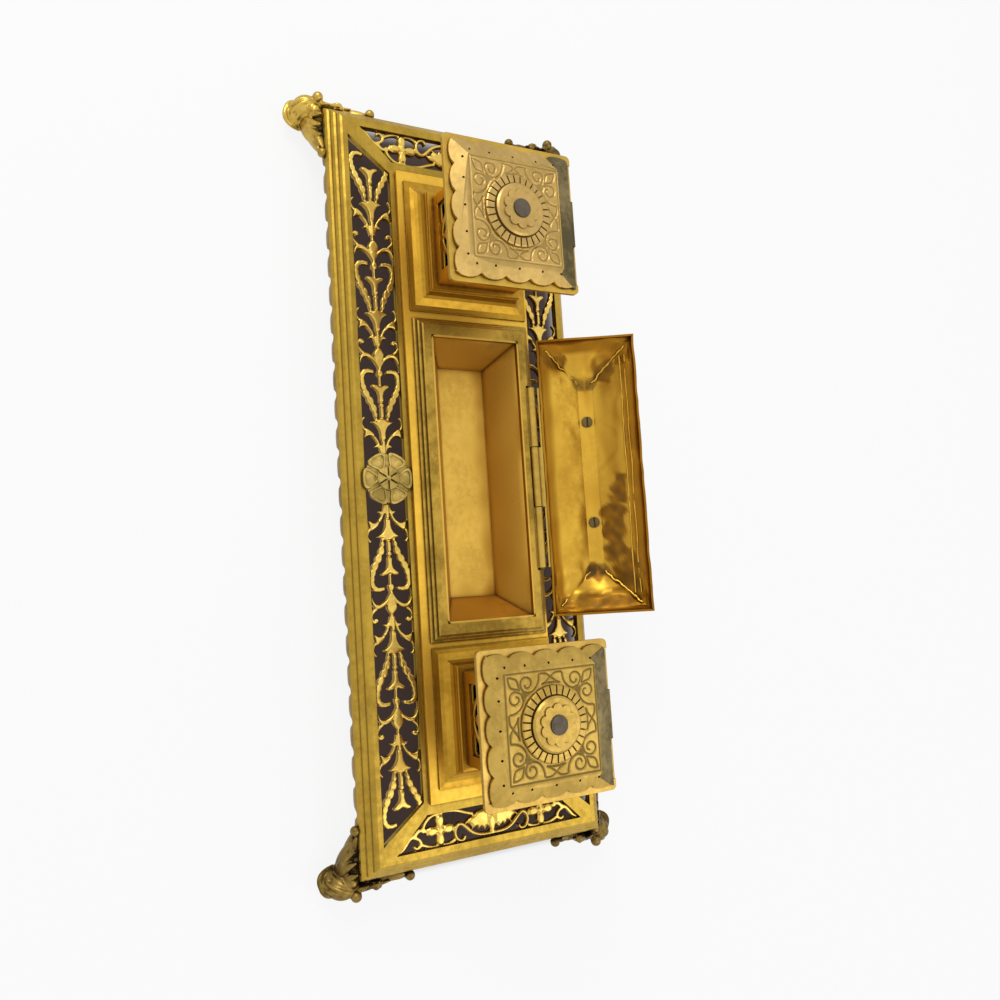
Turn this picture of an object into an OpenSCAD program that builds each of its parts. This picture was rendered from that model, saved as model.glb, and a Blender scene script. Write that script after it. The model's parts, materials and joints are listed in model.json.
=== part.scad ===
// Desk inkstand: a pierced brass stand on four cast feet, with two square lidded
// inkwells and a sunk centre tray under a hinged hip-shaped lid.
// Millimetres. X runs along the stand, Y towards its back, Z up from the desk.

/* [Base frame] */
// Length of the flat top frame
frame_len = 300; // [294:1:306]
// Width of the flat top frame
frame_wid = 100.7; // [99:0.1:103]
// Height of the flat top frame above the desk
frame_top = 24; // [23:0.5:26]
// Thickness of the frame plate
plate_t = 1.6; // [1.2:0.1:1.8]
// Sideways run of the three-bead edge moulding
bead_run = 5.8; // [5:0.1:6.4]
// Height of the three-bead edge moulding
bead_drop = 6.9; // [6:0.1:7.4]
// Number of beads in the edge moulding
bead_n = 3; // [2:1:4]
// Wall of the edge moulding
bead_wall = 1.6; // [1.2:0.1:1.8]
// Flat strip outside a long opening
long_strip = 2.05; // [1.8:0.05:2.6]
// Width of the front opening
front_w = 17.8; // [16.8:0.1:18.2]
// Width of the rear opening
rear_w = 16.7; // [16:0.1:17.6]
// Distance from a long opening's outer corner to the frame's end
long_corner = 6.85; // [6:0.1:9]
// How far a long opening's ends lean in
long_lean = 14.2; // [13:0.1:16]
// Flat strip outside an end opening
end_strip = 2.7; // [2.2:0.1:3.2]
// Width of an end opening
end_w = 13.4; // [12.6:0.1:13.8]
// Distance from an end opening's outer corner to the frame's side
end_corner = 7.25; // [6.6:0.1:9]
// How far an end opening's ends lean in
end_lean = 13.7; // [13:0.1:15]

/* [Apron] */
// Height of the apron's scalloped lower edge above the desk
apron_low = 11.5; // [10.5:0.5:13]
// Thickness of the apron strip
apron_t = 1; // [0.8:0.1:1.2]
// Depth of the notches between the scallops
notch_depth = 3; // [2:0.2:3.6]
// Number of scallops along the front and the back
scallops_long = 26; // [22:1:30]
// Number of scallops along each end
scallops_end = 9; // [7:1:11]

/* [Fret panels] */
// Thickness of the pierced sheet
fret_t = 2.1; // [1.8:0.1:2.2]
// Height of the chased leaves above the pierced sheet
fret_relief = 0.6; // [0.4:0.1:0.8]
// Hidden rim of a panel beyond its opening
fret_rim = 1.4; // [1:0.1:1.6]
// Half-width of the thin scroll arms
arm = 0.5; // [0.4:0.05:0.65]

/* [Rosettes] */
// Overall diameter of a rosette
ros_d = 21.3; // [20:0.1:21.6]
// Thickness of a rosette's leaves
ros_t = 1.2; // [1:0.1:1.6]

/* [Feet] */
// Radius of the round toe of a foot
toe_r = 5.8; // [5.2:0.1:6.2]
// Height of the toe's middle above the desk
toe_z = 5.3; // [5:0.1:5.4]
// Radius of a foot screw
foot_screw_r = 1; // [0.8:0.1:1.2]

/* [Platform] */
// Strip of frame left between the platform and an end opening
plat_end = 3.9; // [3:0.1:6]
// Strip of frame left in front of the platform
plat_strip = 2.3; // [1.8:0.1:2.6]
// Strip of frame left behind the platform
plat_back = 0.2; // [0.1:0.1:0.5]

/* [Centre box] */
// Middle of the box from front to back
box_y = 2.7;
// Half-length of the tray mouth
mouth_x = 58.7; // [57.5:0.1:59]
// Half-width of the tray mouth
mouth_y = 20; // [19.5:0.1:20.2]
// Sheet thickness of the tray
tray_t = 0.8; // [0.6:0.1:1]
// Depth of the tray
tray_depth = 16; // [14:0.5:17]
// Sideways run of the sloping tray walls
tray_run = 9.5; // [7:0.5:11]
// Corner radius of the tray mouth
mouth_r = 1.4; // [1:0.1:2.4]
// Flat rim width round the tray
rim_w = 3.5; // [3:0.1:3.8]
// Height of the surround above the platform
sur_h = 4; // [3.6:0.1:4.4]
// Sideways run of the surround's three steps
sur_run = 4; // [3.6:0.1:4.2]

/* [Centre lid] */
// How far the lid's ends lap over the rim
lid_lap = 1.4; // [1:0.1:1.8]
// How far the lid's front edge laps over the rim
lid_front_lap = 0.5; // [0.4:0.1:1]
// Distance from the hinge line to the lid's near edge
lid_off = 3.6; // [3.4:0.1:3.8]
// Height of the lid's ridge above the hinge line
lid_h = 12.5; // [11:0.5:14]
// Sheet thickness of the lid
lid_t = 0.9; // [0.7:0.1:1.1]
// Angle the lid stands open, from closed
open_angle = 151; // [140:1:152]
// Places of the two handle screws along the ridge
handle_x = [-24.5, 20.4];
// Radius of the handle screws
handle_screw_r = 1.2; // [1:0.1:1.3]

/* [Centre hinge] */
// Distance of the hinge line behind the rim
hinge_back = 2.2; // [2.1:0.1:2.6]
// Height of the hinge line above the rim
hinge_rise = 0.2; // [0.1:0.1:0.4]
// Radius of the knuckles
knuckle_r = 1.8; // [1.6:0.1:1.9]
// Radius of the hinge pin
pin_r = 0.8; // [0.6:0.1:1]
// Length of one of the three knuckles
knuckle_len = 26; // [24:0.5:26]

/* [Inkwells] */
// Distance of the left inkwell from the middle of the stand
left_well_x = 97.8; // [96.6:0.1:98.4]
// How far the left inkwell stands behind the middle line
left_well_y = 2.4; // [1.4:0.1:3.4]
// Distance of the right inkwell from the middle of the stand
right_well_x = 96.8; // [96.6:0.1:98.4]
// How far the right inkwell stands behind the middle line
right_well_y = 3.4; // [1.4:0.1:3.4]
// Half-width of the square casing
case_h = 18.4; // [18:0.1:18.8]
// Wall of the casing
case_t = 1.2; // [1:0.1:1.4]
// How far the plinth spreads beyond the casing
plinth_out = 9.4; // [9:0.1:9.6]
// How far the top plate stands out beyond the casing
top_out = 10.4; // [9.6:0.1:10.8]
// Height of the top plate's upper face
top_z = 65.4; // [64.5:0.1:67.5]
// Width of the casing's corner posts
post_w = 4.4; // [3.8:0.1:5]

/* [Inkwell lids] */
// Step from the edge of the top plate in to the lid
wlid_in = 1.8; // [1.6:0.1:2.4]
// Rise of the lid's flat square above the top plate
wlid_rise = 3.6; // [3.2:0.1:4]
// Run of the lid's sloping border
wlid_run = 6.9; // [6:0.1:7.4]
// Depth of the lid's lobes
lobe_depth = 1.8; // [1.2:0.1:2]
// Radius of the ring of radial blocks
boss_r = 14.2; // [13.8:0.1:14.6]
// Number of radial blocks
boss_n = 29; // [25:1:33]
// Number of petals on the boss
petal_n = 10; // [8:1:12]

/* [Well hinges] */
// Radius of the barrel
barrel_r = 1; // [0.95:0.05:1.1]
// Radius of the pin
wpin_r = 0.5; // [0.4:0.05:0.55]
// Length of the middle knuckle
barrel_mid = 19; // [16:1:22]
// Step from the end of the barrel to the corner of the top plate
barrel_in = 4.3; // [4:0.1:6]

/* [Hidden] */
$fn = 48;
e = 0.01;
run_gap = 0.05;      // radial clearance of a pin in a turning knuckle
move_gap = 0.35;     // gap between a moving piece and a fixed one
fit_gap = 0.3;       // clearance round a sunk piece
flat_x = frame_len / 2;
flat_y = frame_wid / 2;
out_x = flat_x + bead_run;
out_y = flat_y + bead_run;
band_low = frame_top - bead_drop;
plate_low = frame_top - plate_t;
apron_x = out_x - bead_wall + apron_t;
apron_y = out_y - bead_wall + apron_t;
plat_top = frame_top + plate_t;
fret_low = plate_low - plate_t;
fret_flat = fret_low + fret_t;
long_y_out = flat_y - long_strip;
front_y_in = long_y_out - front_w;
rear_y_in = long_y_out - rear_w;
long_out = flat_x - long_corner;
long_in = long_out - long_lean;
end_x_out = flat_x - end_strip;
end_x_in = end_x_out - end_w;
end_y_out = flat_y - end_corner;
end_y_in = end_y_out - end_lean;
fret_line = long_y_out - front_w / 2 - 0.2;
sx = long_out / 143.15;      // stretch of the chased pattern along a long panel
sy = front_w / 17.8;         // and across it
unit_start = [10.5, 55.6, 102.1];
screw_z = band_low - 2.2;
screw_in = 7.2;
side_screw_in = 14.5;
plat_x = end_x_in - plat_end;
plat_front = front_y_in - plat_strip;
plat_rear = rear_y_in - plat_back;
end_mid = (end_x_out + end_x_in) / 2;
tray_out_x = mouth_x + tray_t;
tray_out_y = mouth_y + tray_t;
rim_x = tray_out_x + rim_w;
rim_y = tray_out_y + rim_w - 0.9;
rim_top = plat_top + sur_h;
tray_floor = rim_top - tray_depth;
hinge_y = box_y + rim_y + hinge_back;
hinge_z = rim_top + hinge_rise;
lid_x = mouth_x + lid_lap;
lid_w = hinge_y - lid_off - box_y + mouth_y + lid_front_lap;
hinge_half = 1.5 * knuckle_len;
leaf_t = 0.8;
shelf_z = hinge_z - knuckle_r - leaf_t;
pin_head = 0.8;
lid_mid = -(lid_off + lid_w / 2);
lid_low = 0.2;
lid_half = lid_w / 2;
skirt = 1.5;
shoulder_run = 3.4;
shoulder_top = 4.8;
ridge_in = lid_half - 3.5;
plinth_h = 8.4;
plinth_top = plat_top + plinth_h;
case_top = top_z - plate_t;
liner_t = 2.3;
liner_h = case_h - case_t - 2;
liner_top = 61;
neck_r = liner_h - 3.7;
bore_r = neck_r - 2.5;
foot_h = case_h + plinth_out;
top_h = case_h + top_out;
wlid_h = top_h - wlid_in;
win_x = case_h - post_w;
barrel_end = top_h - barrel_in;
barrel_x = [-barrel_end, -barrel_mid / 2, barrel_mid / 2, barrel_end];
mouth_gap = 0.8;
wlid_low = top_z + move_gap;
wlid_top = top_z + wlid_rise;
barrel_y = top_h - barrel_r;
barrel_z = wlid_low - fit_gap - barrel_r;
brass = [0.74, 0.58, 0.25];
dark = [0.36, 0.27, 0.13];
glassy = [0.7, 0.78, 0.76, 0.5];

// Which piece to draw

// ---------- shared shapes ----------
function unit2(v) = v / norm(v);
function tangent(p, i) = i == 0 ? unit2(p[1] - p[0])
    : i == len(p) - 1 ? unit2(p[i] - p[i - 1])
    : unit2(unit2(p[i] - p[i - 1]) + unit2(p[i + 1] - p[i]));
function side(p, w, i, s) = let (t = tangent(p, i)) [p[i][0] - s * t[1] * w[i], p[i][1] + s * t[0] * w[i]];
function pick(p, i) = p[max(0, min(len(p) - 1, i))];
function curve_at(p, i, u) = 0.5 * (2 * pick(p, i) + (pick(p, i + 1) - pick(p, i - 1)) * u
    + (2 * pick(p, i - 1) - 5 * pick(p, i) + 4 * pick(p, i + 1) - pick(p, i + 2)) * u * u
    + (3 * pick(p, i) - pick(p, i - 1) - 3 * pick(p, i + 1) + pick(p, i + 2)) * u * u * u);
// a smooth curve through points, each of them [x, y, half-width]
function smooth(p, n) = concat([for (i = [0 : len(p) - 2]) for (k = [0 : n - 1]) curve_at(p, i, k / n)],
    [p[len(p) - 1]]);
function flat(p) = [for (q = p) [q[0], q[1]]];
function widths(p) = [for (q = p) q[2]];

module ribbon(p, n = 3) {
    s = smooth(p, n);
    c = flat(s);
    w = widths(s);
    m = len(c) - 1;
    polygon(concat([for (i = [0 : m]) side(c, w, i, 1)], [for (i = [m : -1 : 0]) side(c, w, i, -1)]));
}

module both() {
    children();
    mirror([0, 1, 0]) children();
}

module rounded(hx, hy, r) {
    square([2 * hx - 2 * r, 2 * hy], center = true);
    square([2 * hx, 2 * hy - 2 * r], center = true);
    for (i = [-1, 1], j = [-1, 1])
        translate([i * (hx - r), j * (hy - r)]) circle(r);
}

// a rectangular block whose four sides follow one profile of [inset, height] points,
// with mitred corners
function both_sides(h, p) = concat([for (q = p) [h - q[0], q[1]]],
    [for (i = [len(p) - 1 : -1 : 0]) [p[i][0] - h, p[i][1]]]);
module moulded(hx, hy, p) {
    intersection() {
        rotate([90, 0, 90]) linear_extrude(height = 2 * hx + 2, center = true)
            polygon(both_sides(hy, p));
        rotate([90, 0, 0]) linear_extrude(height = 2 * hy + 2, center = true)
            polygon(both_sides(hx, p));
    }
}
// quarter-round steps from the outside edge up to the top
function beads(run, drop, low, n) = concat([for (i = [0 : n - 1]) for (a = [0 : 30 : 90])
    if (i == 0 || a > 0 || i > 0) [i * run / n + run / n * (1 - cos(a)) + (a == 0 && i > 0 ? 0.02 : 0),
        low + i * drop / n + drop / n * sin(a)]]);

// ---------- base frame ----------
function long_poly(y_in, y_out, d) = [[-long_out - d, -y_out - d], [long_out + d, -y_out - d],
    [long_in + d * 0.6, -y_in + d], [-long_in - d * 0.6, -y_in + d]];
function end_poly(d) = [[end_x_out + d, -end_y_out - d], [end_x_out + d, end_y_out + d],
    [end_x_in - d, end_y_in + d * 0.6], [end_x_in - d, -end_y_in - d * 0.6]];

module base_frame() {
    color(brass) difference() {
        moulded(out_x, out_y, beads(bead_run, bead_drop, band_low, bead_n));
        moulded(out_x - bead_wall, out_y - bead_wall, [[0, band_low - 1], [0, band_low + 1],
            [bead_run - 1.2, plate_low]]);
        translate([0, 0, plate_low - 1]) linear_extrude(height = plate_t + 2) {
            polygon(long_poly(front_y_in, long_y_out, 0));
            mirror([0, 1, 0]) polygon(long_poly(rear_y_in, long_y_out, 0));
            polygon(end_poly(0));
            mirror([1, 0, 0]) polygon(end_poly(0));
            translate([0, box_y]) square([2 * tray_out_x + 3, 2 * tray_out_y + 3], center = true);
        }
    }
}

// ---------- apron ----------
function lobe(x0, w, k) = [for (a = [0 : 6]) [x0 + w * (a + 0.4) / 6.8,
    apron_low + notch_depth * (1 - sin(25 + 130 * a / 6)) * 0.6 + (a == 0 || a == 6 ? notch_depth * 0.7 : 0)]];
function scallop_edge(half, n) = [for (i = [0 : n - 1]) each lobe(-half + i * 2 * half / n, 2 * half / n, i)];

module apron_strip(half, n, screw_x) {
    difference() {
        rotate([90, 0, 0]) linear_extrude(height = apron_t)
            polygon(concat([[-half, band_low]], scallop_edge(half, n), [[half, band_low]]));
        for (x = screw_x, s = [-1, 1])
            translate([s * x, 1, screw_z]) rotate([90, 0, 0]) cylinder(h = apron_t + 2, r = foot_screw_r + run_gap);
    }
}
screw_x = apron_x - screw_in;
screw_y = apron_y - side_screw_in;
module front_apron() {
    color(brass) translate([0, -apron_y + apron_t, 0]) apron_strip(apron_x, scallops_long, [screw_x]);
}
module rear_apron() {
    color(brass) translate([0, apron_y, 0]) apron_strip(apron_x, scallops_long, [screw_x]);
}
module right_apron() {
    color(brass) translate([apron_x - apron_t, 0, 0]) rotate([0, 0, 90])
        apron_strip(apron_y - apron_t, scallops_end, [screw_y]);
}
module left_apron() {
    mirror([1, 0, 0]) right_apron();
}

// ---------- pierced fret panels ----------
// one repeat of the long panels; half of it, the other half is its mirror image.
// The points run along the panel and out from its middle line, with a half-width third.
arms_1 = [[-0.6, 0.8, 0.35], [2.5, 1.45, 0.4], [4.9, 2.4, 0.42], [6.7, 3.7, arm], [8.0, 5.6, arm],
    [9.4, 7.5, arm], [11.0, 8.6, 0.45], [12.6, 8.95, 0.4], [14.0, 8.3, 0.35], [14.7, 7.4, 0.3]];
leaf_1 = [[6.2, 3.2], [7.1, 4.9], [7.0, 6.8], [6.1, 8.3], [8.2, 8.15], [9.9, 7.75], [10.3, 6.9], [9.2, 5.2],
    [7.8, 3.7]];
thorn = [[1.5, 1.2], [2.4, 2.4], [2.5, 4.0], [3.4, 2.9], [3.6, 1.7]];
bell = [[5.5, 0], [5.5, 1.05], [7.8, 1.05], [9.4, 1.4], [11.2, 2.4], [12.3, 3.8], [12.9, 5.0], [13.3, 3.4],
    [13.2, 2.3], [13.9, 1.7], [14.3, 0.8], [14.4, 0]];
garland = [[12.6, 2.3, 0.35], [15.2, 2.7, 0.4], [17.6, 3.2, 0.4], [20.8, 4.5, 0.4], [23.8, 6.1, 0.4],
    [26.5, 7.7, 0.45], [29.2, 8.65, 0.55], [31.6, 8.6, 0.6], [33.4, 7.6, 0.6], [34.1, 5.9, 0.55],
    [33.9, 4.2, 0.5], [33.0, 2.6, 0.35]];
// husks strung on the garland: place, angle and size
husks = [[15.4, 2.75, 6, 0.6], [18.0, 3.35, 18, 1.0], [21.0, 4.65, 27, 1.1], [23.9, 6.2, 30, 1.05],
    [26.5, 7.35, 20, 0.95], [28.9, 7.95, 6, 0.85], [31.2, 7.95, -12, 0.8], [33.0, 7.0, -52, 0.75],
    [33.7, 5.3, -86, 0.65], [33.6, 3.8, -104, 0.55]];
tail = [[20.9, 0], [20.9, 0.95], [23.6, 0.85], [25.4, 1.3], [26.8, 2.7], [27.7, 4.1], [28.4, 3.4],
    [28.3, 1.9], [27.6, 0.7], [27.4, 0]];
bud = [[31.6, 0], [31.7, 0.85], [32.3, 1.3], [33.3, 1.2], [34.3, 0.8], [34.6, 0]];
spade = [[33.9, 0], [34.0, 0.6], [36.2, 0.75], [38.0, 1.25], [39.8, 2.0], [41.2, 2.3], [42.6, 1.6], [43.6, 0.8],
    [44.3, 0]];
arms_2 = [[36.0, 0.7, 0.35], [38.2, 1.9, 0.5], [39.7, 3.6, 0.8], [40.5, 5.5, 0.95], [39.9, 7.2, 0.75],
    [38.4, 8.2, 0.45], [36.8, 8.55, 0.3]];
curl_2 = [[40.4, 5.4, 0.5], [41.6, 7.0, arm], [42.9, 8.4, arm], [44.7, 8.95, 0.45], [46.2, 8.2, 0.45],
    [46.6, 7.1, 0.4], [46.0, 6.6, 0.35]];
curl_ball = [45.9, 6.75];
function husk_poly(k) = [[-1.5, 0], [-1.0, 0.8], [0.2, 1.3], [1.5, 1.25], [1.95, 0.7], [1.0, 0], [1.95, -0.7],
    [1.5, -1.25], [0.2, -1.3], [-1.0, -0.8]] * k;

function fit(p) = [for (q = p) len(q) > 2 ? [q[0] * sx, q[1] * sy, q[2]] : [q[0] * sx, q[1] * sy]];
function shrink(p, c, k) = [for (q = p) c + (q - c) * k];

module husk_at(q, k) {
    translate([q[0] * sx, q[1] * sy]) rotate(q[2]) polygon(husk_poly(k * q[3]));
}
module stem(x0, x1, half) {
    polygon(fit([[x0, -half], [x1, -half], [x1, half], [x0, half]]));
}
module repeat_half_flat(last) {
    stem(-3.2, last ? 27 : 44.6, 0.36);
    ribbon(fit(arms_1), 2);
    polygon(fit(leaf_1));
    polygon(fit(thorn));
    polygon(fit(bell));
    ribbon(fit(garland), 2);
    polygon(fit(tail));
    if (!last) {
        polygon(fit(bud));
        polygon(fit(spade));
        ribbon(fit(arms_2), 2);
        ribbon(fit(curl_2), 2);
        translate([curl_ball[0] * sx, curl_ball[1] * sy]) circle(0.8, $fn = 20);
    }
}
module repeat_half_raised(last) {
    stem(-0.4, 5.1, 0.55);
    polygon(fit(shrink(bell, [9.7, 0], 0.88)));
    stem(14.9, 18.4, 0.62);
    translate([19.6 * sx, 0]) circle(0.85, $fn = 20);
    for (q = husks)
        husk_at(q, 0.94);
    polygon(fit(shrink(tail, [24.5, 0], 0.86)));
    polygon(fit(shrink(leaf_1, [8.1, 5.9], 0.74)));
    if (!last) {
        polygon(fit(shrink(bud, [33.0, 0], 0.8)));
        polygon(fit(shrink(spade, [39.6, 0], 0.84)));
        ribbon(fit([for (q = arms_2) [q[0], q[1], q[2] * 0.55]]), 2);
    }
}
module each_repeat() {
    for (s = [0, 1], k = [0 : 2])
        mirror([s, 0, 0]) translate([unit_start[k] * sx, -fret_line]) both() {
            $last = (k == 2);
            children();
        }
}
module long_fret(y_in) {
    translate([0, 0, fret_low]) linear_extrude(height = plate_t) difference() {
        polygon(long_poly(y_in, long_y_out, fret_rim));
        polygon(long_poly(y_in, long_y_out, 0));
    }
    translate([0, 0, fret_low]) linear_extrude(height = fret_t) intersection() {
        polygon(long_poly(y_in, long_y_out, 0));
        union() {
            each_repeat() repeat_half_flat($last);
            translate([0, -fret_line]) circle(8.6);
        }
    }
    translate([0, 0, fret_low + 0.5]) linear_extrude(height = fret_t + fret_relief - 0.5) intersection() {
        polygon(long_poly(y_in, long_y_out, -0.2));
        each_repeat() repeat_half_raised($last);
    }
    translate([0, -fret_line, fret_low + 0.5]) cylinder(h = frame_top - fret_low - 0.5, r = 7);
}
module front_fret() {
    color(brass) long_fret(front_y_in);
}
module rear_fret() {
    color(brass) mirror([0, 1, 0]) long_fret(rear_y_in);
}

// end panels: along = distance from the middle of the stand, across = distance from the panel's middle line
e_bud = [[0, -3.4], [1.5, -1.2], [1.8, 1.4], [0.9, 4.6], [0.3, 6.9], [0, 6.9]];
e_acanthus = [[1.0, -3.4], [3.6, -4.6], [6.4, -4.2], [8.6, -2.6], [10.4, -1.9], [12.0, -0.4], [10.2, 0.4], [8.8, 2.4],
    [7.0, 1.4], [6.2, 3.4], [4.6, 2.0], [3.4, 3.9], [2.2, 2.2], [1.2, 2.8]];
e_arm = [[8.4, -3.4, 0.6], [12.0, -4.6, 0.6], [15.6, -5.9, 0.6], [19.5, -6.5, 0.6], [23.6, -6.3, 0.55], [27.6, -5.3, 0.55],
    [30.4, -2.6, 0.55], [30.9, 0.4, 0.5]];
e_hook = [[-0.4, 5.4, 0.6], [5.6, 5.2, 0.7], [9.4, 3.6, 0.75], [12.2, 1.0, 0.75], [14.6, -0.6, 0.7], [16.6, 0.8, 0.65],
    [17.0, 3.4, 0.65], [15.6, 5.6, 0.65], [13.4, 5.9, 0.6], [12.6, 4.4, 0.5]];
e_foot = [[16.2, 4.8, 0.6], [19.2, 6.3, 0.65], [23.5, 6.6, 0.65], [28.0, 6.2, 0.6], [31.6, 4.8, 0.6]];
e_corner = [[30.0, -0.4, 0.6], [32.6, -0.9, 0.7], [34.6, 0.6, 0.75], [36.9, 1.6, 0.75], [38.6, 3.6, 0.75], [40.2, 5.4, 0.6],
    [42.2, 6.4, 0.5]];
e_curl = [[35.2, 1.4, 0.6], [33.0, 2.4, 0.6], [32.0, 4.4, 0.6], [33.6, 5.9, 0.55], [35.2, 5.0, 0.5]];
cross_at = 23.6;
cross_petal = [[0.5, -0.4], [1.9, -1.5], [4.2, -1.9], [5.9, -1.2], [6.3, 0], [5.9, 1.2], [4.2, 1.9], [1.9, 1.5], [0.5, 0.4]];
module end_half_flat() {
    polygon(e_bud);
    polygon(e_acanthus);
    ribbon(e_arm);
    ribbon(e_hook);
    ribbon(e_foot);
    ribbon(e_corner);
    ribbon(e_curl);
    translate([cross_at, 0.3]) {
        circle(1.2, $fn = 20);
        for (a = [0 : 90 : 270])
            rotate(a) polygon(cross_petal);
    }
}
module end_half_raised() {
    translate([cross_at, 0.3]) {
        for (a = [0 : 90 : 270])
            rotate(a) polygon(shrink(cross_petal, [3.5, 0], 0.7));
        circle(1.1, $fn = 16);
    }
    polygon(shrink(e_bud, [0, 1.6], 0.7));
    polygon(shrink(e_acanthus, [6, -1.6], 0.8));
    ribbon([for (q = e_hook) [q[0], q[1], q[2] * 0.5]]);
}
module right_fret() {
    color(brass) {
        translate([0, 0, fret_low]) linear_extrude(height = plate_t) difference() {
            polygon(end_poly(fret_rim));
            polygon(end_poly(0));
        }
        translate([0, 0, fret_low]) linear_extrude(height = fret_t) intersection() {
            polygon(end_poly(0));
            translate([end_mid, 0]) both() rotate(90) mirror([0, 1, 0]) end_half_flat();
        }
        translate([0, 0, fret_low + 0.5]) linear_extrude(height = fret_t + fret_relief - 0.5) intersection() {
            polygon(end_poly(-0.2));
            translate([end_mid, 0]) both() rotate(90) mirror([0, 1, 0]) end_half_raised();
        }
    }
}
module left_fret() {
    mirror([1, 0, 0]) right_fret();
}

// ---------- rosettes ----------
half_petal = [[3.9, 0.9], [5.6, 2.2], [7.6, 3.7], [8.9, 4.25], [9.8, 3.8], [10.35, 2.7], [10.6, 1.3]];
half_field = [[5.0, 0.8], [6.3, 1.7], [7.9, 2.8], [8.7, 3.05], [9.25, 2.5], [9.55, 1.3]];
function mirrored(p) = concat(p, [for (i = [len(p) - 1 : -1 : 0]) [p[i][0], -p[i][1]]]);
petal = mirrored(half_petal);
petal_field = mirrored(half_field);
sepal = [[3.6, 1.2], [7.2, 0.75], [9.5, 0.5], [10.1, 0], [9.5, -0.5], [7.2, -0.75], [3.6, -1.2]];
module rosette() {
    k = ros_d / 21.3;
    scale(k) {
        linear_extrude(height = ros_t / k) {
            circle(8);
            for (a = [30 : 60 : 330])
                rotate(a) polygon(petal);
            for (a = [0 : 60 : 300])
                rotate(a) polygon(sepal);
        }
        translate([0, 0, ros_t / k]) linear_extrude(height = 0.7) {
            for (a = [30 : 60 : 330])
                rotate(a) difference() {
                    polygon(petal);
                    polygon(petal_field);
                }
            circle(4.9);
        }
        translate([0, 0, ros_t / k + 0.7]) linear_extrude(height = 0.7) difference() {
            circle(4.7);
            for (a = [0 : 60 : 300])
                rotate(a) translate([1.2, -0.3]) square([4, 0.6]);
        }
        translate([0, 0, ros_t / k + 1.4]) cylinder(h = 0.5, r = 1, $fn = 24);
    }
}
module front_rosette() {
    color(brass) translate([0, -fret_line, frame_top]) rosette();
}
module rear_rosette() {
    mirror([0, 1, 0]) front_rosette();
}

// ---------- feet ----------
// the leaf that wraps the corner, measured from the apron's corner and down from the moulding:
// its two wings lie on the aprons
front_wing = [[-19, -2.9], [-15.7, -4.5], [-11.2, -7.3], [-6.7, -9.9], [-3.2, -13.5], [-0.2, -15.5], [4.8, -15.9],
    [7.2, -11.1], [7.4, -3.7], [6, -0.5], [4, -2.9], [1, -0.6], [-1, -3.3], [-4, -0.9], [-6, -3.5],
    [-9.6, -0.7], [-11.4, -2.7], [-14.6, -0.2], [-17.8, -0.3]];
side_wing = [[-22.5, -4.7], [-18.5, -4.9], [-13.5, -6.9], [-8.5, -8.7], [-4.5, -11.9], [-0.5, -14.5], [3.1, -14.9],
    [4.5, -9.1], [3.9, -1.9], [1.5, -0.5], [-1, -3.1], [-4.1, -0.7], [-6.1, -3.3], [-9.8, -0.8], [-11.8, -3.3],
    [-15.3, -0.7], [-17.5, -2.5], [-21.1, -0.7]];
wing_t = 3.2;
module foot() {
    color(brass) translate([apron_x, -apron_y, 0]) difference() {
        union() {
            translate([0, 0, band_low]) rotate([90, 0, 0]) linear_extrude(height = wing_t) polygon(front_wing);
            translate([0, 0, band_low]) rotate([90, 0, 90]) linear_extrude(height = wing_t + 0.6)
                polygon([for (q = side_wing) [-q[0], q[1]]]);
            translate([-18.7, -2.5, band_low - 1.5]) sphere(2.3, $fn = 24);
            translate([4, 21.3, band_low - 2.9]) sphere(2.3, $fn = 24);
            translate([5, 7.1, band_low - 3.5]) rotate([0, 90, 0]) cylinder(h = 4.6, r = 2.8, center = true, $fn = 24);
            translate([6.8, -1, band_low - 3.5]) sphere(2.7, $fn = 24);
            translate([2.2, -3.2, band_low - 7.7]) sphere(6.6, $fn = 32);
            translate([3.8, -9, toe_z]) sphere(toe_r, $fn = 32);
            translate([-3, -4, band_low - 8.9]) sphere(4.2, $fn = 24);
        }
        translate([0, 0, -10]) cube([60, 60, 20], center = true);
        translate([-60, 0, -1]) cube([60, 60, 40]);
        translate([-screw_in, -2.4, screw_z]) rotate([-90, 0, 0]) cylinder(h = 4, r = foot_screw_r);
        translate([2.6, side_screw_in, screw_z]) rotate([0, -90, 0]) cylinder(h = 4, r = foot_screw_r);
    }
}
module front_right_foot() {
    foot();
}
module front_left_foot() {
    mirror([1, 0, 0]) foot();
}
module rear_right_foot() {
    mirror([0, 1, 0]) foot();
}
module rear_left_foot() {
    mirror([1, 0, 0]) mirror([0, 1, 0]) foot();
}
module foot_screws() {
    color(dark) for (i = [0, 1], j = [0, 1])
        mirror([i, 0, 0]) mirror([0, j, 0]) {
            translate([screw_x, -apron_y - 2, screw_z]) rotate([-90, 0, 0]) {
                cylinder(h = apron_t + 2, r = foot_screw_r - e, $fn = 24);
                translate([0, 0, apron_t + 2]) cylinder(h = 1, r = 2 * foot_screw_r, $fn = 24);
            }
            translate([apron_x + 2, -screw_y, screw_z]) rotate([0, -90, 0]) {
                cylinder(h = apron_t + 2, r = foot_screw_r - e, $fn = 24);
                translate([0, 0, apron_t + 2]) cylinder(h = 1, r = 2 * foot_screw_r, $fn = 24);
            }
        }
}

// ---------- platform ----------
// the rear rosette stands in a round notch of the platform and the box's foot
module rear_rosette_room() {
    translate([0, fret_line, frame_top - 1]) cylinder(h = sur_h + 4, r = ros_d / 2 + fit_gap);
}
module platform() {
    color(brass) difference() {
        translate([-plat_x, -plat_front, frame_top]) cube([2 * plat_x, plat_front + plat_rear, plate_t]);
        translate([0, box_y, frame_top - 1]) linear_extrude(height = plate_t + 2)
            rounded(tray_out_x + fit_gap, tray_out_y + fit_gap, mouth_r);
        rear_rosette_room();
    }
}

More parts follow.
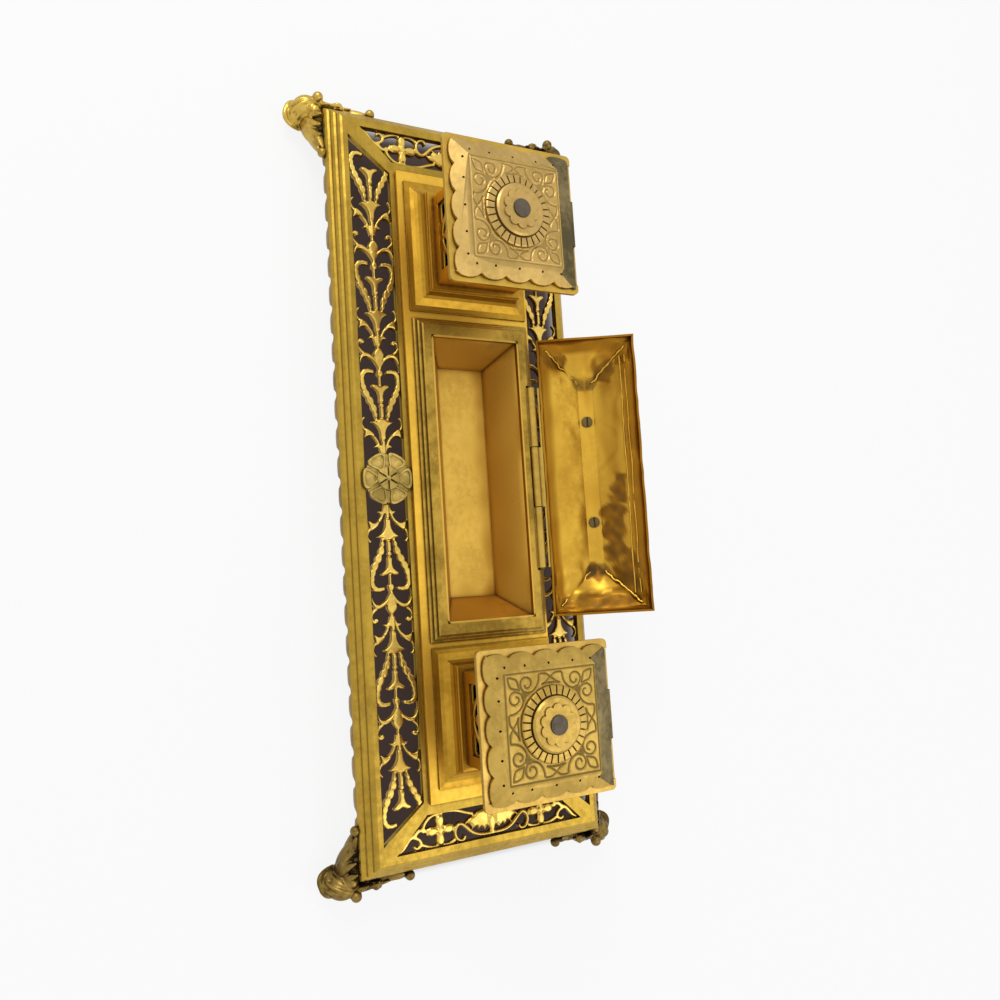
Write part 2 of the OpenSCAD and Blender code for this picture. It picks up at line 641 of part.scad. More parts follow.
// ---------- centre box ----------
module box_surround() {
    color(brass) difference() {
        translate([0, box_y, 0])
            moulded(rim_x + sur_run, rim_y + sur_run, concat([for (i = [0 : 2]) each [
                [i * sur_run / 3, plat_top + i * sur_h / 3], [i * sur_run / 3, plat_top + (i + 0.7) * sur_h / 3],
                [(i + 0.4) * sur_run / 3, plat_top + (i + 1) * sur_h / 3]]], [[sur_run, rim_top]]));
        translate([0, box_y, plat_top - 1]) linear_extrude(height = sur_h + 2)
            rounded(tray_out_x, tray_out_y, mouth_r + tray_t);
        translate([-hinge_half - 1, box_y + rim_y, shelf_z]) cube([2 * hinge_half + 2, 10, 10]);
        rear_rosette_room();
    }
}
module box_tray() {
    drop = rim_top - 2;
    color(brass) translate([0, box_y, 0]) difference() {
        intersection() {
            moulded(tray_out_x, tray_out_y, [[tray_run, tray_floor - tray_t], [0, drop], [0, rim_top]]);
            translate([0, 0, tray_floor - 5]) linear_extrude(height = tray_depth + 10)
                rounded(tray_out_x, tray_out_y, mouth_r + tray_t);
        }
        intersection() {
            moulded(mouth_x, mouth_y, [[tray_run, tray_floor], [0, drop], [0, rim_top + 1]]);
            translate([0, 0, tray_floor - 5]) linear_extrude(height = tray_depth + 10)
                rounded(mouth_x, mouth_y, mouth_r);
        }
    }
}

// ---------- centre hinge ----------
module tube_x(x0, x1, r, bore) {
    translate([x0, 0, 0]) rotate([0, 90, 0]) difference() {
        cylinder(h = x1 - x0, r = r, $fn = 32);
        translate([0, 0, -1]) cylinder(h = x1 - x0 + 2, r = bore, $fn = 32);
    }
}
module box_hinge_leaf() {
    leaf_y = box_y + rim_y;
    gap = move_gap / 2;
    color(brass) difference() {
        union() {
            translate([-hinge_half, leaf_y, shelf_z]) cube([2 * hinge_half, leaf_t, leaf_t / 2]);
            for (s = [-1, 1]) {
                x0 = s > 0 ? knuckle_len / 2 + gap : -hinge_half;
                translate([x0, leaf_y, shelf_z]) cube([knuckle_len - gap, leaf_t + 0.6, hinge_z - shelf_z]);
                translate([x0, hinge_y, hinge_z]) rotate([0, 90, 0])
                    cylinder(h = knuckle_len - gap, r = knuckle_r, $fn = 32);
            }
        }
        translate([-hinge_half - 1, hinge_y, hinge_z]) rotate([0, 90, 0])
            cylinder(h = 2 * hinge_half + 2, r = pin_r, $fn = 32);
    }
}
module box_hinge_pin() {
    color(dark) translate([-hinge_half, hinge_y, hinge_z]) rotate([0, 90, 0]) {
        cylinder(h = 2 * hinge_half, r = pin_r, $fn = 32);
        translate([0, 0, -pin_head]) cylinder(h = pin_head, r = pin_r + 0.5, $fn = 32);
        translate([0, 0, 2 * hinge_half]) cylinder(h = pin_head, r = pin_r + 0.5, $fn = 32);
    }
}

// ---------- centre lid, drawn closed about its hinge line and swung open ----------
module swung() {
    translate([0, hinge_y, hinge_z]) rotate([-open_angle, 0, 0]) children();
}
function shoulder(run, low, high) = [for (a = [0 : 15 : 90]) [run * (1 - cos(a)), low + (high - low) * sin(a)]];
module lid_block(hx, hy, t, low) {
    moulded(hx - t, hy - t, concat([[0, low]], shoulder(shoulder_run, skirt, shoulder_top - t * 0.8),
        [[ridge_in + t * 0.2, lid_h - t]]));
}
module box_lid() {
    color(brass) swung() difference() {
        translate([0, lid_mid, 0]) lid_block(lid_x, lid_half, 0, lid_low);
        translate([0, lid_mid, 0]) lid_block(lid_x, lid_half, lid_t, lid_low - 1);
        for (x = handle_x)
            translate([x, lid_mid, 0]) cylinder(h = 20, r = handle_screw_r + run_gap, $fn = 24);
    }
}
module box_lid_hinge_leaf() {
    gap = move_gap / 2;
    w = knuckle_len / 2 - gap;
    color(brass) swung() difference() {
        union() {
            translate([-hinge_half, -lid_off, lid_low + 0.2]) cube([2 * hinge_half, leaf_t, skirt - lid_low - 0.2]);
            translate([-w, -lid_off, lid_low + 0.2]) cube([2 * w, lid_off, leaf_t]);
            translate([-w, 0, 0]) rotate([0, 90, 0]) cylinder(h = 2 * w, r = knuckle_r, $fn = 32);
        }
        translate([-w - 1, 0, 0]) rotate([0, 90, 0]) cylinder(h = 2 * w + 2, r = pin_r + run_gap, $fn = 32);
    }
}
module box_lid_handle() {
    mid = (handle_x[0] + handle_x[1]) / 2;
    half = (handle_x[1] - handle_x[0]) / 2;
    color(brass) swung() translate([mid, lid_mid, lid_h]) difference() {
        union() {
            for (s = [-1, 1])
                translate([s * half, 0, 0]) rotate_extrude($fn = 32)
                    polygon([[0, 0], [3, 0], [3, 1.1], [1.8, 1.6], [1.8, 3.6], [2.4, 4.4], [2.4, 6.8], [1.6, 7.6], [0, 7.6]]);
            translate([-half, 0, 5.6]) rotate([0, 90, 0]) rotate_extrude($fn = 32)
                polygon([[0, 0], [1.3, 0], [1.3, half - 3], [2.1, half - 1.2], [2.1, half + 1.2], [1.3, half + 3],
                    [1.3, 2 * half], [0, 2 * half]]);
        }
        for (s = [-1, 1])
            translate([s * half, 0, -1]) cylinder(h = 4, r = handle_screw_r, $fn = 24);
    }
}
module box_handle_screws() {
    color(dark) swung() for (x = handle_x)
        translate([x, lid_mid, lid_h - lid_t]) difference() {
            union() {
                cylinder(h = lid_t + 2.8, r = handle_screw_r, $fn = 24);
                translate([0, 0, -1.1]) cylinder(h = 1.1, r = 2.3, $fn = 32);
            }
            translate([0, 0, -1.1]) cube([6, 0.7, 1.1], center = true);
        }
}

// ---------- inkwells ----------
module well_plinth() {
    color(brass) difference() {
        moulded(foot_h, foot_h, concat([[0, plat_top], [0, plat_top + 0.8], [0.8, plat_top + 0.8]],
            [for (a = [15 : 15 : 90]) [0.8 + 6.2 * sin(a), 32 - 5.6 * cos(a)]],
            [for (a = [-60 : 30 : 60]) [7.6 - 0.6 * cos(a), 33 + sin(a)]], [[8.4, plinth_top]]));
        translate([-case_h + 2, -case_h + 2, plat_top - 1])
            cube([2 * case_h - 4, 2 * case_h - 4, plinth_top - plat_top - 0.4]);
    }
}
win_low = plinth_top + 4;
win_top = case_top - 3;
module well_body() {
    inner = case_h - case_t;
    color(brass) difference() {
        translate([-case_h, -case_h, plinth_top]) cube([2 * case_h, 2 * case_h, case_top - plinth_top]);
        translate([-inner, -inner, plinth_top + case_t]) cube([2 * inner, 2 * inner, case_top]);
        translate([-win_x, -case_h - 1, win_low]) cube([2 * win_x, 2 * case_h + 2, win_top - win_low]);
        translate([-case_h - 1, -win_x, win_low]) cube([2 * case_h + 2, 2 * win_x, win_top - win_low]);
    }
}
// one pierced screen, in the upright plane, middle at the origin
s_scroll = [[0.6, -11.6, 0.7], [4.4, -10.4, 0.75], [8.2, -7.6, 0.75], [10.2, -3.4, 0.7], [8.8, 0.6, 0.65], [5.4, 0.8, 0.6],
    [4.4, -1.8, 0.6], [6.2, -3.4, 0.6]];
s_scroll_2 = [[9.8, -1.6, 0.7], [11.8, 2.2, 0.75], [11.4, 6.8, 0.75], [8.4, 10.4, 0.7], [4.6, 10.6, 0.65], [3.4, 7.8, 0.6],
    [5.2, 5.8, 0.6]];
module screen() {
    half_z = (win_top - win_low) / 2 + 1;
    difference() {
        square([2 * win_x + 2, 2 * half_z], center = true);
        square([2 * win_x - 1.4, 2 * half_z - 3.4], center = true);
    }
    for (s = [0, 1])
        mirror([s, 0, 0]) {
            ribbon(s_scroll);
            ribbon(s_scroll_2);
            translate([12.9, 0]) square([2, 1.6], center = true);
            translate([0, 11.2]) rotate(-20) square([4, 1.4], center = true);
        }
    translate([0, 0]) square([1.3, 2 * half_z - 2], center = true);
    translate([0, 3]) circle(2.2, $fn = 20);
    translate([0, -6.5]) circle(2.8, $fn = 20);
}
module well_screens() {
    color(brass) translate([0, 0, (win_low + win_top) / 2]) for (a = [0, 90, 180, 270])
        rotate([0, 0, a]) translate([0, -case_h + case_t + 0.8, 0]) rotate([90, 0, 0])
            linear_extrude(height = 0.8) screen();
}
notch_y = barrel_y - barrel_r - move_gap;
module well_top_plate() {
    color(brass) translate([0, 0, case_top]) linear_extrude(height = plate_t) difference() {
        rounded(top_h, top_h, 2);
        circle(neck_r + mouth_gap);
        translate([-barrel_end - move_gap, notch_y]) square([2 * (barrel_end + move_gap), top_h]);
    }
}
module inkwell_glass() {
    low = plinth_top + case_t;
    color(glassy) difference() {
        union() {
            translate([0, 0, low]) linear_extrude(height = liner_top - low) rounded(liner_h, liner_h, 2);
            translate([0, 0, liner_top]) cylinder(h = top_z - 0.4 - liner_top, r = neck_r);
        }
        translate([0, 0, low + liner_t]) linear_extrude(height = liner_top - low - 2 * liner_t)
            rounded(liner_h - liner_t, liner_h - liner_t, 1.4);
        translate([0, 0, liner_top - liner_t - 1]) cylinder(h = 20, r = bore_r);
    }
}

// ---------- inkwell lids ----------
// scalloped outline: five lobes on three sides, straight at the back
function lobes(n, half) = [for (i = [0 : n - 1]) for (a = [0 : 5])
    let (u = (i + a / 6) / n) [half * (2 * u - 1), -half + lobe_depth * (1 - pow(abs(sin(180 * (a / 6))), 0.6))]];
function turn(p, a) = [for (q = p) [q[0] * cos(a) - q[1] * sin(a), q[0] * sin(a) + q[1] * cos(a)]];
module well_lid() {
    rows = concat(lobes(5, wlid_h), turn(lobes(5, wlid_h), 90), [[wlid_h, wlid_h], [-wlid_h, wlid_h]],
        turn(lobes(5, wlid_h), -90));
    color(brass) difference() {
        intersection() {
            translate([0, 0, wlid_low - 1]) linear_extrude(height = 10) polygon(rows);
            moulded(wlid_h, wlid_h, [[0, wlid_low], [0, wlid_low + 0.7], [wlid_run, wlid_top]]);
        }
        moulded(wlid_h - 2.6, wlid_h - 2.6, [[0, wlid_low - 1], [0, wlid_low + 0.1], [wlid_run - 1, wlid_top - 1]]);
    }
}
// a stepped dome: a ring of radial blocks, a smooth step and a flat flower round the stud
block_in = boss_r - 3.3;
block_h = 1.5;
dome_r = block_in - 0.5;
dome_h = 2.9;
flower_r = dome_r - 2.6;
flower_t = 0.6;
stud_r = 3.6;
stud_t = 0.5;
module well_lid_boss() {
    petal_r = flower_r * 0.26;
    color(brass) translate([0, 0, wlid_top]) difference() {
        union() {
            rotate_extrude() polygon([[0, 0], [boss_r, 0], [boss_r, block_h - 0.5], [boss_r - 0.5, block_h - 0.2],
                [block_in, block_h], [block_in - 0.2, block_h - 0.6], [dome_r, block_h - 0.6], [dome_r, dome_h - 0.6],
                [dome_r - 0.8, dome_h], [0, dome_h]]);
            translate([0, 0, dome_h - 0.5]) linear_extrude(height = flower_t + 0.5) {
                circle(flower_r - petal_r);
                for (i = [0 : petal_n - 1])
                    rotate(i * 360 / petal_n) translate([flower_r - petal_r, 0]) circle(petal_r, $fn = 24);
            }
        }
        for (i = [0 : boss_n - 1])
            rotate(i * 360 / boss_n) translate([block_in, -0.3, block_h - 1]) cube([5, 0.6, 2]);
        translate([0, 0, dome_h]) cylinder(h = 5, r = stud_r);
    }
}
module well_lid_stud() {
    color(dark) translate([0, 0, wlid_top + dome_h]) cylinder(h = flower_t + stud_t, r = stud_r);
}
module well_hinge_leaf() {
    gap = move_gap / 2;
    color(brass) translate([0, barrel_y, barrel_z]) difference() {
        for (k = [0, 2]) {
            x0 = barrel_x[k] + (k > 0 ? gap : 0);
            x1 = barrel_x[k + 1] - (k < 2 ? gap : 0);
            translate([x0, 0, 0]) rotate([0, 90, 0]) cylinder(h = x1 - x0, r = barrel_r, $fn = 32);
            translate([x0, notch_y - barrel_y, -0.4]) cube([x1 - x0, barrel_y - notch_y, 0.8]);
        }
        translate([barrel_x[0] - 1, 0, 0]) rotate([0, 90, 0])
            cylinder(h = barrel_x[3] - barrel_x[0] + 2, r = wpin_r, $fn = 32);
    }
}
module well_hinge_pin() {
    color(dark) translate([barrel_x[0], barrel_y, barrel_z]) rotate([0, 90, 0])
        cylinder(h = barrel_x[3] - barrel_x[0], r = wpin_r, $fn = 32);
}
module well_lid_hinge_leaf() {
    gap = move_gap / 2;
    x0 = barrel_x[1] + gap;
    x1 = barrel_x[2] - gap;
    tongue_z = wlid_low - barrel_z;
    tongue_t = 0.6;
    web = 0.4;
    color(brass) translate([0, barrel_y, barrel_z]) difference() {
        union() {
            translate([x0, 0, 0]) rotate([0, 90, 0]) cylinder(h = x1 - x0, r = barrel_r, $fn = 32);
            translate([x0, -web, 0]) cube([x1 - x0, 2 * web, tongue_z + tongue_t]);
            translate([x0, wlid_h - barrel_y, tongue_z]) cube([x1 - x0, barrel_y - wlid_h + web, tongue_t]);
        }
        translate([x0 - 1, 0, 0]) rotate([0, 90, 0]) cylinder(h = x1 - x0 + 2, r = wpin_r + run_gap, $fn = 32);
    }
}
module at_left() {
    translate([-left_well_x, left_well_y, 0]) children();
}
module at_right() {
    translate([right_well_x, right_well_y, 0]) children();
}

module left_well_plinth() { at_left() well_plinth(); }
module left_well_body() { at_left() well_body(); }
module left_well_screens() { at_left() well_screens(); }
module left_well_top_plate() { at_left() well_top_plate(); }
module left_inkwell_glass() { at_left() inkwell_glass(); }
module left_hinge_leaf() { at_left() well_hinge_leaf(); }
module left_hinge_pin() { at_left() well_hinge_pin(); }
module left_lid() { at_left() well_lid(); }
module left_lid_hinge_leaf() { at_left() well_lid_hinge_leaf(); }
module left_lid_boss() { at_left() well_lid_boss(); }
module left_lid_stud() { at_left() well_lid_stud(); }
module right_well_plinth() { at_right() well_plinth(); }
module right_well_body() { at_right() well_body(); }
module right_well_screens() { at_right() well_screens(); }
module right_well_top_plate() { at_right() well_top_plate(); }
module right_inkwell_glass() { at_right() inkwell_glass(); }
module right_hinge_leaf() { at_right() well_hinge_leaf(); }
module right_hinge_pin() { at_right() well_hinge_pin(); }
module right_lid() { at_right() well_lid(); }
module right_lid_hinge_leaf() { at_right() well_lid_hinge_leaf(); }
module right_lid_boss() { at_right() well_lid_boss(); }
module right_lid_stud() { at_right() well_lid_stud(); }

base_frame();
front_apron();
rear_apron();
left_apron();
right_apron();
front_fret();
rear_fret();
left_fret();
right_fret();
front_rosette();
rear_rosette();
front_left_foot();
front_right_foot();
rear_left_foot();
rear_right_foot();
foot_screws();
platform();
box_surround();
box_tray();
box_hinge_leaf();
box_hinge_pin();
box_lid();
box_lid_hinge_leaf();
box_lid_handle();
box_handle_screws();
left_well_plinth();
left_well_body();
left_well_screens();
left_well_top_plate();
left_inkwell_glass();
left_hinge_leaf();
left_hinge_pin();
left_lid();
left_lid_hinge_leaf();
left_lid_boss();
left_lid_stud();
right_well_plinth();
right_well_body();
right_well_screens();
right_well_top_plate();
right_inkwell_glass();
right_hinge_leaf();
right_hinge_pin();
right_lid();
right_lid_hinge_leaf();
right_lid_boss();
right_lid_stud();
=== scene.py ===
import json
import math

import bmesh
import bpy
from mathutils import Matrix, Vector, noise

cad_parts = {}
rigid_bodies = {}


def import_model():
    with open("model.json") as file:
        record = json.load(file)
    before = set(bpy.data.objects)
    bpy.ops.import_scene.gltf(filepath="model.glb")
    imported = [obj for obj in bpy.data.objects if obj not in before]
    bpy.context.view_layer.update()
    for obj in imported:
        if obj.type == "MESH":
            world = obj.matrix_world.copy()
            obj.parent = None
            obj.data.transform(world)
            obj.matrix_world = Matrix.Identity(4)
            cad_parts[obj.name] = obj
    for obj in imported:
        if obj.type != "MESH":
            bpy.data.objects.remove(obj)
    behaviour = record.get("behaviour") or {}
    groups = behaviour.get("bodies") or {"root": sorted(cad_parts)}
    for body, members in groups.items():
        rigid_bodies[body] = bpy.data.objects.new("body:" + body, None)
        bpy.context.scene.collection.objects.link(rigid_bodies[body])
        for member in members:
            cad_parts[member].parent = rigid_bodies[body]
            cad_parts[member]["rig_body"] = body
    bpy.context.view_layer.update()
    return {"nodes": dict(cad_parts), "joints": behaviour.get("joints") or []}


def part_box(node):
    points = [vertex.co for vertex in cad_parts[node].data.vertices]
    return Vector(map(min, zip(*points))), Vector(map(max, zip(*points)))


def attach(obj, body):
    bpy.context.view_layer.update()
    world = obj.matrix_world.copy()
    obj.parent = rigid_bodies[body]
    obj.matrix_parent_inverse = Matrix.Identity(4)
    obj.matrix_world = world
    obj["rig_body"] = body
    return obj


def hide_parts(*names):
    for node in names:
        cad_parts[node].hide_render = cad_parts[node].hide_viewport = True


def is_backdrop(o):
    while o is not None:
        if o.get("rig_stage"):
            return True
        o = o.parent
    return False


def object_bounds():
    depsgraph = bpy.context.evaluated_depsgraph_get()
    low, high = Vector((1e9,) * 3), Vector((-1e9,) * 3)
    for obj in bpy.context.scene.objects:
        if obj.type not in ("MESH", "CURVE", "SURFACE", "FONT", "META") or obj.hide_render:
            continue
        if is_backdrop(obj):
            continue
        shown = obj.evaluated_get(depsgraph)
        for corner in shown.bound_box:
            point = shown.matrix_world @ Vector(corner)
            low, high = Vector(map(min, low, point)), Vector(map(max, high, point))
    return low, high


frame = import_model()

mm = 0.001

# ---- Base frame ----
# The stand is built on one flat brass frame plate with a three-bead moulding round its
# edge. It is cast and planished brass, rubbed bright on top; its grooves are nearly black,
# partly soot and partly painted shade.


def new_group(name, inputs, outputs):
    group = bpy.data.node_groups.new(name, "ShaderNodeTree")
    for label, kind, value in inputs:
        socket = group.interface.new_socket(label, in_out="INPUT", socket_type=kind)
        socket.default_value = value
    for label, kind in outputs:
        group.interface.new_socket(label, in_out="OUTPUT", socket_type=kind)
    return group, group.nodes, group.links


def add_math(nodes, links, kind, *values, clamp=False):
    step = nodes.new("ShaderNodeMath")
    step.operation = kind
    step.use_clamp = clamp
    for place, value in enumerate(values):
        if isinstance(value, (int, float)):
            step.inputs[place].default_value = value
        else:
            links.new(value, step.inputs[place])
    return step.outputs[0]


def add_range(nodes, links, value, low, high, to_low=0.0, to_high=1.0):
    step = nodes.new("ShaderNodeMapRange")
    step.interpolation_type = "SMOOTHSTEP"
    links.new(value, step.inputs["Value"])
    step.inputs["From Min"].default_value = low
    step.inputs["From Max"].default_value = high
    step.inputs["To Min"].default_value = to_low
    step.inputs["To Max"].default_value = to_high
    return step.outputs["Result"]


def add_mix(nodes, links, amount, a, b):
    step = nodes.new("ShaderNodeMix")
    step.data_type = "RGBA"
    links.new(amount, step.inputs["Factor"])
    for socket, value in ((step.inputs[6], a), (step.inputs[7], b)):
        if isinstance(value, tuple):
            socket.default_value = (*value, 1.0)
        else:
            links.new(value, socket)
    return step.outputs[2]


def add_noise(nodes, links, point, scale, detail=4.0, rough=0.55):
    step = nodes.new("ShaderNodeTexNoise")
    step.inputs["Scale"].default_value = scale
    step.inputs["Detail"].default_value = detail
    step.inputs["Roughness"].default_value = rough
    links.new(point, step.inputs["Vector"])
    return step.outputs["Fac"]


# Old brass: bright where hands and cloths rub it and brown in patches. Its upright sides are toned
# darker as painted shade, and the corners that no cloth reaches go black, partly soot and partly
# painted shade. Stain and Dirt come from a piece's own marks.
def build_old_brass():
    group, nodes, links = new_group(
        "old brass",
        [("Rubbed", "NodeSocketColor", (0.6, 0.42, 0.1, 1)),
         ("Toned", "NodeSocketColor", (0.35, 0.22, 0.04, 1)),
         ("Soot And Shade", "NodeSocketColor", (0.03, 0.02, 0.01, 1)),
         ("Toning", "NodeSocketFloat", 0.5),
         ("Soot And Shade Amount", "NodeSocketFloat", 0.8),
         ("Reach", "NodeSocketFloat", 2.5 * mm),
         ("Shine", "NodeSocketFloat", 0.25),
         ("Pits", "NodeSocketFloat", 0.3),
         ("Side Shade", "NodeSocketFloat", 0.3),
         ("Specks", "NodeSocketFloat", 0.0),
         ("Stain", "NodeSocketFloat", 0.0),
         ("Dirt", "NodeSocketFloat", 0.0)],
        [("Color", "NodeSocketColor"), ("Roughness", "NodeSocketFloat"),
         ("Metallic", "NodeSocketFloat"), ("Height", "NodeSocketFloat")])
    given = nodes.new("NodeGroupInput")
    coords = nodes.new("ShaderNodeTexCoord")
    place = coords.outputs["Object"]
    patches = add_noise(nodes, links, place, 55.0, 5.0, 0.6)
    mottle = add_noise(nodes, links, place, 420.0, 4.0, 0.6)
    grain = add_noise(nodes, links, place, 2600.0, 2.0, 0.5)
    # painted shade: faces that stand upright are toned darker, standing in for the dark surroundings they
    # reflect
    facing = nodes.new("ShaderNodeSeparateXYZ")
    links.new(coords.outputs["Normal"], facing.inputs[0])
    upright_shade = add_math(nodes, links, "ABSOLUTE", facing.outputs["Z"])
    upright_shade = add_range(nodes, links, upright_shade, 0.25, 0.9, 1.0, 0.0)
    upright_shade = add_math(nodes, links, "MULTIPLY", upright_shade, given.outputs["Side Shade"])
    shade = nodes.new("ShaderNodeAmbientOcclusion")
    shade.samples = 6
    links.new(given.outputs["Reach"], shade.inputs["Distance"])
    # painted shade: places that ambient occlusion finds hidden are darkened towards black, standing in for
    # the shade in hollows, corners and grooves as well as soot
    occlusion_shade = add_math(nodes, links, "SUBTRACT", 1.0, shade.outputs["AO"])
    uneven = add_math(nodes, links, "MULTIPLY_ADD", mottle, 0.7, 0.65)
    occlusion_shade = add_math(nodes, links, "MULTIPLY", occlusion_shade, uneven)
    soot_and_shade = add_range(nodes, links, occlusion_shade, 0.2, 0.68)
    specks = add_range(nodes, links, grain, 0.66, 0.74)
    specks = add_math(nodes, links, "MULTIPLY", specks, add_range(nodes, links, patches, 0.4, 0.62))
    specks = add_math(nodes, links, "MULTIPLY", specks, given.outputs["Specks"])
    soot_and_shade = add_math(nodes, links, "MAXIMUM", soot_and_shade, specks)
    soot_and_shade = add_math(nodes, links, "MAXIMUM", soot_and_shade, given.outputs["Dirt"])
    soot_and_shade = add_math(nodes, links, "MULTIPLY", soot_and_shade, given.outputs["Soot And Shade Amount"], clamp=True)
    blend = add_math(nodes, links, "ADD", patches, add_math(nodes, links, "MULTIPLY", mottle, 0.5))
    toned = add_range(nodes, links, blend, 0.55, 0.95)
    # painted shade: the brass is also toned brown near those hidden places
    near = add_range(nodes, links, occlusion_shade, 0.02, 0.35, 0.0, 0.9)
    toned = add_math(nodes, links, "MAXIMUM", toned, near)
    toned = add_math(nodes, links, "MULTIPLY", toned, given.outputs["Toning"])
    toned = add_math(nodes, links, "MAXIMUM", toned, upright_shade)
    toned = add_math(nodes, links, "MAXIMUM", toned, given.outputs["Stain"])
    toned = add_math(nodes, links, "MINIMUM", toned, 1.0, clamp=True)
    colour = add_mix(nodes, links, toned, given.outputs["Rubbed"], given.outputs["Toned"])
    colour = add_mix(nodes, links, soot_and_shade, colour, given.outputs["Soot And Shade"])
    rough = add_math(nodes, links, "ADD", given.outputs["Shine"],
                     add_math(nodes, links, "MULTIPLY", mottle, 0.16))
    rough = add_math(nodes, links, "ADD", rough, add_math(nodes, links, "MULTIPLY", toned, 0.1))
    rough = add_math(nodes, links, "ADD", rough, add_math(nodes, links, "MULTIPLY", soot_and_shade, 0.3), clamp=True)
    metal = add_math(nodes, links, "SUBTRACT", 1.0, add_math(nodes, links, "MULTIPLY", soot_and_shade, 0.3))
    pits = add_math(nodes, links, "MULTIPLY", add_math(nodes, links, "ADD", mottle, grain),
                    given.outputs["Pits"])
    out = nodes.new("NodeGroupOutput")
    links.new(colour, out.inputs["Color"])
    links.new(rough, out.inputs["Roughness"])
    links.new(metal, out.inputs["Metallic"])
    links.new(pits, out.inputs["Height"])
    return group


old_brass = build_old_brass()


def brass(name, rubbed, toned, soot_and_shade=(0.018, 0.012, 0.006), toning=0.6, soot_and_shade_amount=0.95, reach=2.5, shine=0.26,
          pits=0.3, edge=0.2, side_shade=0.35, specks=0.0, marked=False):
    finish = bpy.data.materials.new(name)
    finish.use_nodes = True
    nodes, links = finish.node_tree.nodes, finish.node_tree.links
    metal = nodes["Principled BSDF"]
    surface = nodes.new("ShaderNodeGroup")
    surface.node_tree = old_brass
    for label, value in (("Rubbed", (*rubbed, 1)), ("Toned", (*toned, 1)), ("Soot And Shade", (*soot_and_shade, 1)),
                         ("Toning", toning), ("Soot And Shade Amount", soot_and_shade_amount), ("Reach", reach * mm),
                         ("Shine", shine), ("Pits", pits), ("Side Shade", side_shade), ("Specks", specks)):
        surface.inputs[label].default_value = value
    if marked:
        for mark, label in (("stain", "Stain"), ("dirt", "Dirt")):
            marks = nodes.new("ShaderNodeAttribute")
            marks.attribute_name = mark
            links.new(marks.outputs["Fac"], surface.inputs[label])
    round_edge = nodes.new("ShaderNodeBevel")
    round_edge.samples = 4
    round_edge.inputs["Radius"].default_value = edge * mm
    bump = nodes.new("ShaderNodeBump")
    bump.inputs["Distance"].default_value = 0.06 * mm
    bump.inputs["Strength"].default_value = 0.6
    links.new(surface.outputs["Height"], bump.inputs["Height"])
    links.new(round_edge.outputs["Normal"], bump.inputs["Normal"])
    links.new(surface.outputs["Color"], metal.inputs["Base Color"])
    links.new(surface.outputs["Roughness"], metal.inputs["Roughness"])
    links.new(surface.outputs["Metallic"], metal.inputs["Metallic"])
    links.new(bump.outputs["Normal"], metal.inputs["Normal"])
    return finish


def finish_node(name, material):
    node = frame["nodes"][name]
    node.data.materials.clear()
    node.data.materials.append(material)


frame_brass = brass("frame brass", (0.50, 0.32, 0.045), (0.24, 0.145, 0.022))
finish_node("base_frame", frame_brass)

# ---- Aprons ----
# Four strips of cast brass with a row of rounded gadroons, soldered under the moulding and
# held by the foot screws. They are seldom polished and brown, and painted shade darkens them
# between the lobes.
apron_brass = brass("apron brass", (0.34, 0.21, 0.035), (0.15, 0.09, 0.015), toning=0.8, edge=0.1)


def merged_shape(node):
    shape = bmesh.new()
    shape.from_mesh(frame["nodes"][node].data)
    bmesh.ops.remove_doubles(shape, verts=shape.verts, dist=0.002 * mm)
    return shape


def new_piece(name, shape):
    mesh = bpy.data.meshes.new(name)
    shape.to_mesh(mesh)
    shape.free()
    piece = bpy.data.objects.new(name, mesh)
    bpy.context.collection.objects.link(piece)
    return piece


def fix_modifiers(piece):
    graph = bpy.context.evaluated_depsgraph_get()
    piece.data = bpy.data.meshes.new_from_object(piece.evaluated_get(graph))
    piece.modifiers.clear()


# A sharp shape is cast again with soft edges: one closed skin at the given grain, rubbed down.
def recast(piece, grain, rounds):
    skin = piece.modifiers.new("casting", "REMESH")
    skin.mode = "VOXEL"
    skin.voxel_size = grain * mm
    skin.use_smooth_shade = True
    rub = piece.modifiers.new("rubbing", "SMOOTH")
    rub.factor = 0.5
    rub.iterations = rounds
    fix_modifiers(piece)
    piece.data.shade_smooth()


def stand_in_for(piece, node, *materials):
    places = [face.material_index for face in piece.data.polygons]
    piece.data.materials.clear()
    for material in materials:
        piece.data.materials.append(material)
    piece.data.polygons.foreach_set("material_index", places if len(materials) > 1 else [0] * len(places))
    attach(piece, frame["nodes"][node]["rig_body"])
    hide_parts(node)


# A rounded lump of metal, stretched along its own X, pointed along the given direction.
round_lump = bmesh.new()
bmesh.ops.create_uvsphere(round_lump, u_segments=16, v_segments=10, radius=1.0)
lump_mesh = bpy.data.meshes.new("round_lump")
round_lump.to_mesh(lump_mesh)
round_lump.free()


def lump(shape, middle, half, along=(1, 0, 0), up=(0, 0, 1)):
    x = Vector(along).normalized()
    y = Vector(up).cross(x).normalized()
    turn = Matrix((x, y, x.cross(y))).transposed().to_4x4()
    size = Matrix.Diagonal((*[h * mm for h in half], 1.0))
    moved = lump_mesh.copy()
    moved.transform(Matrix.Translation(Vector(middle) * mm) @ turn @ size)
    shape.from_mesh(moved)
    bpy.data.meshes.remove(moved)


gadroon_z, gadroon_bulge, gadroon_rise = 14.9, 0.9, 3.1


